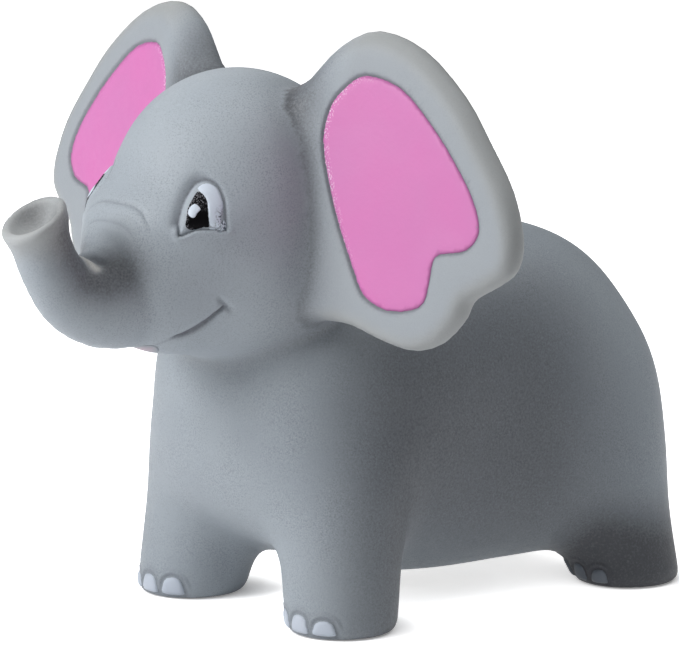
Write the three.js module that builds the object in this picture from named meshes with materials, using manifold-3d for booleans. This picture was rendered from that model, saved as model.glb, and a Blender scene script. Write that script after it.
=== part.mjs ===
// A soft, hollow vinyl elephant to squeeze, with painted eyes, ears, lip and nails, and a squeaker inside.
// Millimetres, +Z up. The elephant looks along -Y, and +X is its left side.
import * as THREE from 'three';
import Module from 'manifold-3d';
import { mergeVertices } from 'three/addons/utils/BufferGeometryUtils.js';

const wasm = await Module();
wasm.setup();

// Driving dimensions: the moulded body
const chestAhead = 20.5;
const chestRise = 30.5;
const chestHalfWidth = 22.5;
const chestHalfLength = 19;
const chestHalfHeight = 20.5;
const barrelBehind = 4.5;
const barrelRise = 28;
const barrelHalfWidth = 22.5;
const barrelHalfLength = 32;
const barrelHalfHeight = 28;
const rumpBehind = 20.5;
const rumpRise = 24;
const rumpHalfWidth = 23.5;
const rumpHalfLength = 18.5;
const rumpHalfHeight = 19.5;
const bellyRise = 4.8;
const bellyEdge = 7;
const bodyBlend = 10;

// Driving dimensions: the legs
const frontFootOut = 18;
const frontFootAhead = 28;
const frontFootRadius = 8.3;
const frontLegTop = 30;
const rearFootOut = 19.5;
const rearFootBehind = 27.5;
const rearFootRadius = 8.3;
const rearLegTop = 30;
const legBlend = 8;
const legFade = 16;
const soleEdge = 5;
const soleTrim = 0.5;

// Driving dimensions: the head and the trunk
const skullAhead = 33;
const skullRise = 63.3;
const skullHalfWidth = 18.1;
const skullHalfLength = 18.8;
const skullHalfHeight = 19;
const jawAhead = 32;
const jawRise = 52.8;
const jawHalfWidth = 19.8;
const jawHalfLength = 17.9;
const jawHalfHeight = 14.1;
const muzzleAhead = 32.2;
const muzzleRise = 60.2;
const muzzleHalfWidth = 17.5;
const muzzleHalfLength = 23.6;
const muzzleHalfHeight = 8.6;
const headBlend = 6;
const neckBlend = 4;
const trunkRootAhead = 44.8;
const trunkReach = 26;
const trunkSag = 50.7;
const trunkLift = 14;
const trunkRootRadius = 13.4;
const trunkNeckRadius = 4.45;
const trunkRimRadius = 5.35;
const trunkBlend = 7;
const nostrilRadius = 4;
const nostrilDepth = 3.4;
const nostrilEdge = 1.6;
const trunkTipStep = 0.25;

// Driving dimensions: the ears
const earRootOut = 13;
const earRootAhead = 33.4;
const earRootRise = 64;
const earSpan = 42;
const earHeight = 45;
const earThickness = 4.4;
const earRootThickening = 4;
const earRootReach = 16;
const earBow = 1.3;
const earDish = 0.5;
const earDishWidth = 11;
const earRim = 2;

// Driving dimensions: the tail, moulded against the rump
const tailTop = 35;
const tailBottom = 20;
const tailRadius = 1.9;
const tuftRadius = 2.9;
const tailBlend = 2.5;
const tailProud = 0.6;

// Driving dimensions: the wall and the hollow
const wallThickness = 2;

// Driving dimensions: the paint, each film lying in a pocket as deep as itself and its clearance
const paintThickness = 0.4;
const paintClearance = 0.3;
const eyeWidth = 6.9;
const eyeHeight = 8.2;
const pupilWidth = 3.3;
const pupilHeight = 4.9;
const glintRadius = 0.85;
const frontNailWidth = 3.9;
const rearNailWidth = 3;
const nailHeight = 2.8;
const nailRise = 0.9;
const lipAhead = 52;
const lipWidth = 7;
const lipLength = 3.4;

// Driving dimensions: the squeaker in the belly
const squeakerBehind = 2;
const squeakerRadius = 7;
const squeakerHeight = 8;
const squeakerWall = 1.1;
const flangeRadius = 8.4;
const flangeThickness = 1;
const seatRadius = 11;
const seatHeight = 4;
const seatRise = 4.6;
const fitClearance = 0.3;
const airHoleRadius = 1.6;
const reedTubeRadius = 2.2;
const reedTubeBore = 1.2;
const reedTubeRoof = 0.8;
const windowWidth = 1.6;
const windowHeight = 3;
const windowRise = 1.3;
const reedWidth = 2.6;
const reedThickness = 0.4;
const reedLength = 4.6;
const clampHeight = 1;
const clampWall = 1.2;

// Driving dimensions: how fine the surfaces are, tied to the thinnest wall that they follow
const skinCell = earThickness * 0.76;
const hollowCell = wallThickness * 2.5;
const overrun = 1;

// Shares and angles chosen by hand from the photograph
const bodySquarenessShare = 2.7;
const muzzleSquarenessShare = 2.5;
const frontLegFlareShare = 0.06;
const frontLegLeanShares = { inward: 0.135, back: 0.116 };
const rearLegFlareShare = 0.02;
const rearLegLeanShares = { inward: 0.16, back: -0.1 };
const trunkRouteShares = [
  { ahead: 0, rise: 0.26, taper: 1 },
  { ahead: 0.25, rise: 0.08, taper: 0.506 },
  { ahead: 0.5, rise: 0, taper: 0.316 },
  { ahead: 0.72, rise: 0.08, taper: 0.085 },
  { ahead: 0.86, rise: 0.38, taper: 0 },
  { ahead: 0.935, rise: 0.7, taper: 0 },
];
const trunkTiltDegrees = 32;
const trunkTipFromShare = 0.5;
const trunkCoreToShare = 0.8;
const earSweepDegrees = 12.5;
const earLeanShare = 0.15;
const earRootShares = { most: 1.4, power: 1.5 };
const earOutlineShares = [
  [0.02, 0.4], [0.14, 0.51], [0.29, 0.565], [0.49, 0.52], [0.69, 0.39], [0.82, 0.255], [0.94, 0.11],
  [1, -0.035], [0.99, -0.135], [0.92, -0.19], [0.82, -0.245], [0.785, -0.31], [0.7, -0.39], [0.585, -0.425],
  [0.45, -0.405], [0.31, -0.37], [0.14, -0.37], [-0.07, -0.39], [-0.14, 0], [-0.07, 0.32],
];
const earPanelShares = [
  [0.3, 0.43], [0.455, 0.4], [0.6, 0.3], [0.72, 0.19], [0.81, 0.085], [0.85, 0], [0.835, -0.05],
  [0.79, -0.083], [0.7, -0.1], [0.667, -0.12], [0.657, -0.185], [0.64, -0.258], [0.58, -0.29],
  [0.483, -0.298], [0.393, -0.267], [0.343, -0.207], [0.25, -0.05], [0.186, 0.09], [0.148, 0.207],
  [0.15, 0.27], [0.171, 0.335], [0.221, 0.39],
];
const eyeDirectionDegrees = { out: 37.2, up: 3 };
const eyeOutlineShares = [
  [-0.46, -0.5], [-0.5, -0.3], [-0.49, 0], [-0.4, 0.27], [-0.245, 0.455], [-0.02, 0.5], [0.185, 0.43],
  [0.32, 0.29], [0.405, 0.12], [0.45, -0.13], [0.5, -0.395], [0.12, -0.38], [-0.135, -0.4],
];
const pupilOutlineShares = [
  [-0.17, 0.5], [0.07, 0.445], [0.275, 0.295], [0.35, 0.14], [0.4, -0.01], [0.5, -0.38], [0.1, -0.45],
  [-0.29, -0.5], [-0.5, -0.38], [-0.475, -0.18], [-0.46, 0.085], [-0.33, 0.285],
];
const pupilShiftShares = { out: -0.1, up: -0.03 };
const glintShiftShares = { out: -0.18, up: -0.06 };
const nailOutlineShares = [
  [-0.5, 0], [-0.48, 0.42], [-0.37, 0.8], [-0.14, 0.98], [0.14, 0.98], [0.37, 0.8], [0.48, 0.42], [0.5, 0],
  [0, -0.06],
];
const frontNailTurnDegrees = [-32, 0, 32];
const rearNailTurnDegrees = [-34, -8, 18];
const lipTiltDegrees = -60;
const nailPlaces = ['inner', 'middle', 'outer'];
const wideRingShares = [1, 2 / 3, 1 / 3];
const landingShare = 0.8;
const meshCounts = { landingSteps: 80, trunkSides: 28, glintSides: 10 };
const rimTurnShares = [1, 1 / 2, 0, -1 / 2, -1];
const smallRingShares = [1, 1 / 2];
const lipOutlineShares = [
  [-0.5, 0.1], [-0.36, 0.42], [0, 0.5], [0.36, 0.42], [0.5, 0.1], [0.3, -0.36], [0, -0.5], [-0.3, -0.36],
];

// Fields: each gives the distance from a point to a shape, less than zero inside
function smoothMin(a, b, blend) {
  const near = Math.max(blend - Math.abs(a - b), 0) / blend;
  return Math.min(a, b) - (near * near * near * blend) / 6;
}

function smoothMax(a, b, blend) {
  return -smoothMin(-a, -b, blend);
}

function blobField(centre, half, power) {
  return (x, y, z) => {
    const qx = Math.abs(x - centre.x) / half.x;
    const qy = Math.abs(y - centre.y) / half.y;
    const qz = Math.abs(z - centre.z) / half.z;
    const reach = (qx ** power + qy ** power + qz ** power) ** (1 / power) + Number.EPSILON;
    const gx = (qx / reach) ** (power - 1) / half.x;
    const gy = (qy / reach) ** (power - 1) / half.y;
    const gz = (qz / reach) ** (power - 1) / half.z;
    return (reach - 1) / (Math.hypot(gx, gy, gz) + Number.EPSILON);
  };
}

function coneField(start, end, startRadius, endRadius) {
  const bx = end.x - start.x;
  const by = end.y - start.y;
  const bz = end.z - start.z;
  const length = Math.hypot(bx, by, bz);
  return (x, y, z) => {
    const along = ((x - start.x) * bx + (y - start.y) * by + (z - start.z) * bz) / length;
    const slope = (startRadius - endRadius) / length;
    const offX = x - start.x - (bx * along) / length;
    const offY = y - start.y - (by * along) / length;
    const offZ = z - start.z - (bz * along) / length;
    const away = Math.hypot(offX, offY, offZ);
    const share = THREE.MathUtils.clamp((along + away * slope) / length, 0, 1);
    const radius = startRadius + (endRadius - startRadius) * share;
    return Math.hypot(away, along - share * length) - radius;
  };
}

function chainField(stations) {
  const links = [];
  for (let i = 1; i < stations.length; i += 1) {
    const from = stations[i - 1];
    const to = stations[i];
    links.push(coneField(from, to, from.radius, to.radius));
  }
  return (x, y, z) => Math.min(...links.map((link) => link(x, y, z)));
}

function legField(foot, radius, flare, lean, top) {
  return (x, y, z) => {
    const height = Math.max(z, 0);
    const away = Math.hypot(x - foot.x + lean.inward * height, y - foot.y - lean.back * height);
    return smoothMax(away - radius - flare * height, z - top, legFade);
  };
}

// The trunk: stations along its curl, then its flared rim
function trunkStations() {
  const spread = trunkRootRadius - trunkNeckRadius;
  const stations = trunkRouteShares.map((share) => ({
    x: 0,
    y: -(trunkRootAhead + trunkReach * share.ahead),
    z: trunkSag + trunkLift * share.rise,
    radius: trunkNeckRadius + spread * share.taper,
  }));
  stations.push({ x: 0, y: -(trunkRootAhead + trunkReach), z: trunkSag + trunkLift, radius: trunkRimRadius });
  return stations;
}

const rim = trunkStations().at(-1);
const trunkTilt = THREE.MathUtils.degToRad(trunkTiltDegrees);
const rimUp = new THREE.Vector3(0, -Math.sin(trunkTilt), Math.cos(trunkTilt));

function trunkRoute() {
  const stations = trunkStations();
  const route = new THREE.CatmullRomCurve3(
    stations.map((s) => new THREE.Vector3(s.radius, s.y, s.z)), false, 'catmullrom');
  return route.getPoints(3 * stations.length).map((p) => ({ x: 0, y: p.y, z: p.z, radius: p.x }));
}

// The trunk up to its tip, and inside the tip a core that is a little thinner
function trunkField() {
  const route = trunkRoute();
  const tipFrom = Math.round(trunkTipFromShare * route.length);
  const coreTo = Math.round(trunkCoreToShare * route.length);
  const thinner = (p) => ({ ...p, radius: p.radius - trunkTipStep });
  return chainField(route.slice(0, coreTo).map((p, i) => (i > tipFrom ? thinner(p) : p)));
}

// The tip of the trunk: rings along the curl, up to a rounded rim round the nostrils
function trunkTip() {
  const route = trunkRoute();
  const tipFrom = Math.round(trunkTipFromShare * route.length) + 1;
  const round = nostrilEdge / 2;
  const rings = route.slice(tipFrom, -1).map((p, i) => {
    const [before, after] = [route[tipFrom + i - 1], route[tipFrom + i + 1]];
    const along = new THREE.Vector3(0, after.y - before.y, after.z - before.z).normalize();
    return { centre: new THREE.Vector3(0, p.y, p.z), along, radius: p.radius };
  });
  for (const turn of [0, 1 / 2, 1]) {
    const angle = (turn * Math.PI) / 2;
    const drop = round * (2 - Math.sin(angle));
    const centre = new THREE.Vector3(rim.x, rim.y, rim.z).addScaledVector(rimUp, -drop);
    rings.push({ centre, along: rimUp, radius: trunkRimRadius - round * (1 - Math.cos(angle)) });
  }
  const { trunkSides } = meshCounts;
  const points = [];
  const index = [];
  const side = new THREE.Vector3(1, 0, 0);
  for (const { centre, along, radius } of rings) {
    const forward = along.clone().cross(side);
    for (let i = 0; i < trunkSides; i += 1) {
      const turn = (2 * Math.PI * i) / trunkSides;
      const point = centre.clone().addScaledVector(side, radius * Math.cos(turn));
      points.push(point.addScaledVector(forward, radius * Math.sin(turn)).toArray());
    }
  }
  const first = points.push(rings[0].centre.toArray()) - 1;
  const last = points.push(rings.at(-1).centre.toArray()) - 1;
  const top = (rings.length - 1) * trunkSides;
  for (let i = 0; i < trunkSides; i += 1) {
    const j = (i + 1) % trunkSides;
    for (let r = 0; r < top; r += trunkSides) {
      index.push(r + i, r + j, r + trunkSides + j, r + i, r + trunkSides + j, r + trunkSides + i);
    }
    index.push(first, j, i, last, top + i, top + j);
  }
  return meshOf(points, index);
}

// The ear: a plate that sweeps back, leans back at the top and thickens towards its root
const earSweep = THREE.MathUtils.degToRad(earSweepDegrees);
const earFrame = {
  origin: new THREE.Vector3(earRootOut, -earRootAhead, earRootRise),
  right: new THREE.Vector3(Math.cos(earSweep), Math.sin(earSweep), 0),
  up: new THREE.Vector3(0, 0, 1),
  out: new THREE.Vector3(Math.sin(earSweep), -Math.cos(earSweep), 0),
};
const earOutline = earOutlineShares.map(([u, v]) => new THREE.Vector3(u * earSpan, v * earHeight, 0));
const earCurve = new THREE.CatmullRomCurve3(earOutline, true, 'catmullrom');

function outlineField(points) {
  const count = points.length;
  return (u, v) => {
    let least = Infinity;
    let sign = 1;
    for (let i = 0; i < count; i += 1) {
      const a = points[i];
      const b = points[(i + count - 1) % count];
      const ex = b.x - a.x;
      const ey = b.y - a.y;
      const wx = u - a.x;
      const wy = v - a.y;
      const share = THREE.MathUtils.clamp((wx * ex + wy * ey) / (ex * ex + ey * ey), 0, 1);
      least = Math.min(least, Math.hypot(wx - ex * share, wy - ey * share));
      const above = v >= a.y;
      const below = v < b.y;
      const left = ex * wy > ey * wx;
      if (above === below && below === left) sign = -sign;
    }
    return sign * least;
  };
}

const earLoop = earCurve.getPoints(2 * earOutline.length).slice(0, -1);
const earEdge = outlineField(earLoop);

// How thick the ear is at a place, and how far its middle lies behind the plane of its frame
function earPlate(u, v, edge) {
  const inside = THREE.MathUtils.smoothstep(-edge, earRim, earRim + earDishWidth);
  const root = THREE.MathUtils.clamp(1 - u / earRootReach, 0, earRootShares.most);
  const thickening = (root ** earRootShares.power * earRootThickening) / 2;
  const lean = earLeanShare * v + earBow * ((2 * v) / earHeight) ** 2;
  return { half: earThickness / 2 + thickening, behind: lean + thickening + earDish * inside };
}

function ear(x, y, z) {
  const { origin, right, out } = earFrame;
  const u = (x - origin.x) * right.x + (y - origin.y) * right.y;
  const w = (x - origin.x) * out.x + (y - origin.y) * out.y;
  const v = z - origin.z;
  const edge = earEdge(u, v);
  const { half, behind } = earPlate(u, v, edge);
  return Math.hypot(Math.max(edge + half, 0), w + behind) - half;
}

// The ear as a solid: a rounded rim that follows the outline, with rings of the front and the back inside it
function earMesh() {
  const edge = anticlockwise(earLoop.map((p) => new THREE.Vector2(p.x, p.y)));
  const centre = edge.reduce((sum, p) => sum.add(p), new THREE.Vector2()).divideScalar(edge.length);
  const count = edge.length;
  const points = [];
  const place = (p, turn) => {
    const { half, behind } = earPlate(p.x, p.y, earEdge(p.x, p.y));
    const point = earFrame.origin.clone()
      .addScaledVector(earFrame.right, p.x)
      .addScaledVector(earFrame.up, p.y)
      .addScaledVector(earFrame.out, half * Math.sin(turn) - behind);
    points.push(point.toArray());
  };
  const ring = (share, turn) => {
    const inset = edge.map((p, i) => {
      const { half } = earPlate(p.x, p.y, 0);
      return widened(edge, -half * (1 - Math.cos(turn)))[i];
    });
    for (const p of inset) place(p.sub(centre).multiplyScalar(share).add(centre), turn);
  };
  const inner = wideRingShares.slice(1);
  for (const share of [...inner].reverse()) ring(share, Math.PI / 2);
  for (const share of rimTurnShares) ring(1, (share * Math.PI) / 2);
  for (const share of inner) ring(share, -Math.PI / 2);
  const rings = points.length / count;
  place(centre, Math.PI / 2);
  place(centre, -Math.PI / 2);
  const index = [];
  const top = (rings - 1) * count;
  for (let i = 0; i < count; i += 1) {
    const j = (i + 1) % count;
    for (let r = 0; r < top; r += count) {
      index.push(r + i, r + count + j, r + j, r + i, r + count + i, r + count + j);
    }
    index.push(rings * count, i, j, rings * count + 1, top + j, top + i);
  }
  return meshOf(points, index);
}

// The whole outside, mirrored about the middle plane, and what of it is hollow
const chest = blobField(
  { x: 0, y: -chestAhead, z: chestRise },
  { x: chestHalfWidth, y: chestHalfLength, z: chestHalfHeight }, bodySquarenessShare);
const barrel = blobField(
  { x: 0, y: barrelBehind, z: barrelRise },
  { x: barrelHalfWidth, y: barrelHalfLength, z: barrelHalfHeight }, bodySquarenessShare);
const rump = blobField(
  { x: 0, y: rumpBehind, z: rumpRise },
  { x: rumpHalfWidth, y: rumpHalfLength, z: rumpHalfHeight }, bodySquarenessShare);
const skull = blobField(
  { x: 0, y: -skullAhead, z: skullRise },
  { x: skullHalfWidth, y: skullHalfLength, z: skullHalfHeight }, 2);
const jaw = blobField(
  { x: 0, y: -jawAhead, z: jawRise },
  { x: jawHalfWidth, y: jawHalfLength, z: jawHalfHeight }, 2);
const muzzle = blobField(
  { x: 0, y: -muzzleAhead, z: muzzleRise },
  { x: muzzleHalfWidth, y: muzzleHalfLength, z: muzzleHalfHeight }, muzzleSquarenessShare);
const frontFoot = { x: frontFootOut, y: -frontFootAhead };
const rearFoot = { x: rearFootOut, y: rearFootBehind };
const frontLeg = legField(frontFoot, frontFootRadius, frontLegFlareShare, frontLegLeanShares, frontLegTop);
const rearLeg = legField(rearFoot, rearFootRadius, rearLegFlareShare, rearLegLeanShares, rearLegTop);
const trunk = trunkField();

function bodyField(x, y, z) {
  const trio = smoothMin(smoothMin(chest(x, y, z), barrel(x, y, z), bodyBlend), rump(x, y, z), bodyBlend);
  const torso = smoothMax(trio, bellyRise - z, bellyEdge);
  return smoothMin(smoothMin(torso, frontLeg(x, y, z), legBlend), rearLeg(x, y, z), legBlend);
}

function faceField(x, y, z) {
  const head = smoothMin(skull(x, y, z), jaw(x, y, z), headBlend);
  const face = smoothMin(head, muzzle(x, y, z), headBlend);
  return smoothMin(face, trunk(x, y, z), trunkBlend);
}

function tailStations() {
  const rumpEnd = (z) => {
    let y = rumpBehind + rumpHalfLength * 2;
    while (bodyField(0, y, z) > 0) y -= tailRadius / 8;
    return y;
  };
  const middle = (tailTop + tailBottom) / 2;
  return [
    { x: 0, y: rumpEnd(tailTop), z: tailTop, radius: tailRadius },
    { x: 0, y: rumpEnd(middle) + tailProud, z: middle, radius: tailRadius },
    { x: 0, y: rumpEnd(tailBottom) + tailProud, z: tailBottom, radius: tuftRadius },
  ];
}

const tail = chainField(tailStations());

function torsoField(px, y, z) {
  const x = Math.abs(px);
  const body = smoothMin(bodyField(x, y, z), tail(x, y, z), tailBlend);
  return smoothMax(smoothMin(body, faceField(x, y, z), neckBlend), -soleTrim - z, soleEdge);
}

function skinField(px, y, z) {
  return Math.min(torsoField(px, y, z), ear(Math.abs(px), y, z));
}

function hollowField(px, y, z) {
  const x = Math.abs(px);
  const face = smoothMin(skull(x, y, z), jaw(x, y, z), headBlend);
  const inside = smoothMin(bodyField(x, y, z), face, neckBlend) + wallThickness;
  return smoothMax(inside, wallThickness - z, soleEdge);
}

// A cell of the mesh: its corners, its edges, and the loop of corners round each face
const cellCorners = [0, 1, 2, 3, 4, 5, 6, 7].map((c) => [c & 1, (c >> 1) & 1, c >> 2]);
const cellEdges = [0, 1, 2].flatMap((axis) => {
  const starts = [0, 1, 2, 3, 4, 5, 6, 7].filter((c) => cellCorners[c][axis] === 0);
  return starts.map((from) => ({ axis, from, to: from | (1 << axis) }));
});
const cellFaces = [0, 1, 2].flatMap((axis) => {
  const side = 1 << ((axis + 1) % 3);
  const other = 1 << ((axis + 2) % 3);
  return [0, 1 << axis].map((base) => [base, base | side, base | side | other, base | other]);
});

function edgeBetween(a, b) {
  return cellEdges.findIndex((edge) => edge.from === Math.min(a, b) && edge.to === Math.max(a, b));
}

const faceEdges = cellFaces.map((face) => face.map((corner, i) => edgeBetween(corner, face[(i + 1) % 4])));

// Joins the crossed edges of a cell into sheets, so that two sheets that share a cell stay apart
function sheetsOf(values) {
  const sheet = cellEdges.map((edge, i) => (values[edge.from] < 0 !== values[edge.to] < 0 ? i : -1));
  const join = (a, b) => {
    const [keep, drop] = [sheet[a], sheet[b]];
    sheet.forEach((s, i) => { if (s === drop) sheet[i] = keep; });
  };
  cellFaces.forEach((face, f) => {
    const crossed = faceEdges[f].filter((edge) => sheet[edge] >= 0);
    if (crossed.length === 2) join(crossed[0], crossed[1]);
    if (crossed.length === 4) {
      face.forEach((corner, i) => {
        if (values[corner] < 0) join(faceEdges[f][i], faceEdges[f][(i + 3) % 4]);
      });
    }
  });
  return sheet;
}

// Meshing: one vertex for each sheet in a cell, and one quad across each edge that the surface crosses
function polygonise(field, box, cell) {
  const axes = ['x', 'y', 'z'];
  const count = axes.map((axis) => 2 * Math.ceil((box.max[axis] - box.min[axis]) / cell / 2) + 1);
  const start = axes.map((axis, k) => (box.max[axis] + box.min[axis] - (count[k] - 1) * cell) / 2);
  const stride = [1, count[0], count[0] * count[1]];
  const value = new Float64Array(count[0] * count[1] * count[2]);
  for (let n = 0; n < value.length; n += 1) {
    const place = [n % count[0], Math.floor(n / stride[1]) % count[1], Math.floor(n / stride[2])];
    value[n] = field(...place.map((v, axis) => start[axis] + v * cell));
  }
  const points = [];
  const owner = new Int32Array(value.length * cellEdges.length).fill(-1);
  for (let n = 0; n < value.length - stride[2] - stride[1] - 1; n += 1) {
    const place = [n % count[0], Math.floor(n / stride[1]) % count[1], Math.floor(n / stride[2])];
    if (place.some((v, axis) => v === count[axis] - 1)) continue;
    const values = cellCorners.map(([i, j, k]) => value[n + i + j * stride[1] + k * stride[2]]);
    if (values.every((v) => v < 0) || values.every((v) => v >= 0)) continue;
    const sheet = sheetsOf(values);
    for (const label of new Set(sheet.filter((s) => s >= 0))) {
      const sum = [0, 0, 0];
      let hits = 0;
      sheet.forEach((s, e) => {
        if (s !== label) return;
        const { axis, from, to } = cellEdges[e];
        const share = values[from] / (values[from] - values[to]);
        cellCorners[from].forEach((v, k) => { sum[k] += v + (k === axis ? share : 0); });
        hits += 1;
        owner[n * cellEdges.length + e] = points.length;
      });
      points.push(place.map((v, axis) => start[axis] + (v + sum[axis] / hits) * cell));
    }
  }
  const quads = [];
  for (let axis = 0; axis < 3; axis += 1) {
    const [one, two] = [(axis + 1) % 3, (axis + 2) % 3];
    const round = [[1, 1], [0, 1], [0, 0], [1, 0]];
    for (let n = stride[one] + stride[two]; n < value.length - stride[axis]; n += 1) {
      const inside = value[n] < 0;
      if (inside === value[n + stride[axis]] < 0) continue;
      const quad = round.map(([a, b]) => {
        const from = (a << one) | (b << two);
        const edge = cellEdges.findIndex((e) => e.axis === axis && e.from === from);
        return owner[(n - a * stride[one] - b * stride[two]) * cellEdges.length + edge];
      });
      quads.push(inside ? quad : quad.reverse());
    }
  }
  settle(points, quads, field, cell);
  return meshOf(points, quads.flatMap((quad) => splitQuad(points, quad)));
}

function fieldSlope(field, point, step) {
  const [x, y, z] = point;
  return [
    (field(x + step, y, z) - field(x - step, y, z)) / (2 * step),
    (field(x, y + step, z) - field(x, y - step, z)) / (2 * step),
    (field(x, y, z + step) - field(x, y, z - step)) / (2 * step),
  ];
}

// Evens out the vertices, and brings each back to the surface
function settle(points, quads, field, cell) {
  const step = cell / 50;
  for (let round = 0; round < 4; round += 1) {
    const sums = points.map(() => [0, 0, 0, 0]);
    for (const quad of quads) {
      quad.forEach((from, i) => {
        const to = points[quad[(i + 1) % 4]];
        const sum = sums[from];
        to.forEach((v, axis) => { sum[axis] += v; });
        sum[3] += 1;
      });
    }
    points.forEach((point, n) => {
      for (let axis = 0; axis < 3; axis += 1) point[axis] = (point[axis] + sums[n][axis] / sums[n][3]) / 2;
      const slope = fieldSlope(field, point, step);
      const pull = field(...point) / (slope[0] ** 2 + slope[1] ** 2 + slope[2] ** 2 + Number.EPSILON);
      const move = THREE.MathUtils.clamp(pull, -cell / 2, cell / 2);
      for (let axis = 0; axis < 3; axis += 1) point[axis] -= slope[axis] * move;
    });
  }
}

function splitQuad(points, [a, b, c, d]) {
  const gap = (i, j) => Math.hypot(...points[i].map((v, axis) => v - points[j][axis]));
  return gap(a, c) < gap(b, d) ? [a, b, c, a, c, d] : [a, b, d, b, c, d];
}

function meshOf(points, index) {
  const geometry = new THREE.BufferGeometry();
  geometry.setAttribute('position', new THREE.Float32BufferAttribute(points.flat(), 3));
  geometry.setIndex(index);
  return geometry;
}

// Solids: a geometry as a solid that can be joined and cut, and back again
function solidOf(geometry) {
  const bare = geometry.clone();
  bare.deleteAttribute('normal');
  bare.deleteAttribute('uv');
  const merged = mergeVertices(bare, wallThickness / 1e4);
  const triVerts = [];
  for (let i = 0; i < merged.index.count; i += 3) {
    const [a, b, c] = [0, 1, 2].map((k) => merged.index.getX(i + k));
    if (a !== b && b !== c && a !== c) triVerts.push(a, b, c);
  }
  return new wasm.Manifold(new wasm.Mesh({
    numProp: 3,
    vertProperties: new Float32Array(merged.attributes.position.array),
    triVerts: new Uint32Array(triVerts),
  }));
}

function geometryOf(solid) {
  const mesh = solid.getMesh();
  const geometry = new THREE.BufferGeometry();
  geometry.setAttribute('position', new THREE.Float32BufferAttribute(mesh.vertProperties, 3));
  geometry.setIndex(Array.from(mesh.triVerts));
  return geometry;
}

function boxSolid(width, depth, height, x, y, z) {
  return solidOf(new THREE.BoxGeometry(width, depth, height).translate(x, y, z));
}

function turned(profile, segments = 24) {
  const points = profile.map(([radius, height]) => new THREE.Vector2(radius, height));
  return new THREE.LatheGeometry(points, segments).rotateX(Math.PI / 2);
}

function mirrored(geometry) {
  const copy = geometry.clone().scale(-1, 1, 1);
  const index = Array.from(copy.index.array);
  for (let i = 0; i < index.length; i += 3) [index[i], index[i + 1]] = [index[i + 1], index[i]];
  copy.setIndex(index);
  return copy;
}

// A film laid on the skin: its outline is carried along one direction onto the skin, in rings
function drape(outline, frame, low, high, rings) {
  const centre = outline.reduce((sum, p) => sum.add(p), new THREE.Vector2()).divideScalar(outline.length);
  const points = [];
  const index = [];
  const count = outline.length;
  for (const level of [low, high]) {
    for (const ring of rings) {
      for (const p of outline) {
        const inner = p.clone().sub(centre).multiplyScalar(ring).add(centre);
        points.push(landOn(frame, inner, level));
      }
    }
    points.push(landOn(frame, centre, level));
  }
  const layer = rings.length * count + 1;
  for (let i = 0; i < count; i += 1) {
    const j = (i + 1) % count;
    for (let r = 0; r < rings.length - 1; r += 1) {
      const [a, b, c, d] = [r * count + i, r * count + j, (r + 1) * count + j, (r + 1) * count + i];
      index.push(layer + a, layer + b, layer + c, layer + a, layer + c, layer + d);
      index.push(c, b, a, d, c, a);
    }
    const last = (rings.length - 1) * count;
    index.push(layer + last + i, layer + last + j, layer + layer - 1);
    index.push(last + j, last + i, layer - 1);
    index.push(i, j, layer + j, i, layer + j, layer + i);
  }
  return meshOf(points, index);
}

function landOn(frame, place, level) {
  const start = frame.origin.clone()
    .addScaledVector(frame.right, place.x)
    .addScaledVector(frame.up, place.y)
    .addScaledVector(frame.out, skullHalfWidth / 2);
  let travel = 0;
  for (let step = 0; step < meshCounts.landingSteps; step += 1) {
    const point = start.clone().addScaledVector(frame.out, -travel);
    travel += (skinField(point.x, point.y, point.z) - level) * landingShare;
  }
  return start.addScaledVector(frame.out, -travel).toArray();
}

function outlineOf(shares, width, height, turns = 1) {
  return shares.map(([u, v]) => new THREE.Vector2(u * width, v * height * turns));
}

// Moves each point of an outline that runs clockwise or not outward by one distance
function widened(outline, distance) {
  const sense = Math.sign(THREE.ShapeUtils.area(outline));
  return outline.map((p, i) => {
    const before = outline[(i + outline.length - 1) % outline.length];
    const after = outline[(i + 1) % outline.length];
    const along = after.clone().sub(before).normalize();
    return new THREE.Vector2(p.x + along.y * distance * sense, p.y - along.x * distance * sense);
  });
}

function anticlockwise(outline) {
  return THREE.ShapeUtils.area(outline) > 0 ? outline : [...outline].reverse();
}

// Frames on the head, feet and mouth, for the films of paint
function frameAt(origin, turn, rise) {
  const ahead = new THREE.Vector3(Math.sin(turn), -Math.cos(turn), 0);
  const out = ahead.multiplyScalar(Math.cos(rise)).add(new THREE.Vector3(0, 0, Math.sin(rise)));
  const right = new THREE.Vector3(Math.cos(turn), Math.sin(turn), 0);
  return { origin, right, up: out.clone().cross(right), out };
}

function eyeFrame() {
  const turn = THREE.MathUtils.degToRad(eyeDirectionDegrees.out);
  const rise = THREE.MathUtils.degToRad(eyeDirectionDegrees.up);
  const frame = frameAt(new THREE.Vector3(0, -skullAhead, skullRise), turn, rise);
  frame.origin.addScaledVector(frame.out, skullHalfWidth);
  return frame;
}

function nailFrame(foot, radius, degrees) {
  const frame = frameAt(new THREE.Vector3(foot.x, foot.y, nailRise), THREE.MathUtils.degToRad(degrees), 0);
  frame.origin.addScaledVector(frame.out, radius);
  return frame;
}

function lipFrame() {
  const origin = new THREE.Vector3(0, -lipAhead, jawRise - jawHalfHeight);
  return frameAt(origin, 0, THREE.MathUtils.degToRad(lipTiltDegrees));
}

// Each film of paint: the solid that fills it, and the pocket in the skin that takes it
function film(outline, frame, rings) {
  const edge = anticlockwise(outline);
  return drape(edge, frame, -paintThickness, 0, rings);
}

function pocket(outline, frame, rings) {
  const edge = widened(anticlockwise(outline), paintClearance);
  return drape(edge, frame, -paintThickness - paintClearance, overrun, rings);
}

function shifted(outline, across, up) {
  return outline.map((p) => new THREE.Vector2(p.x + across, p.y + up));
}

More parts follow.
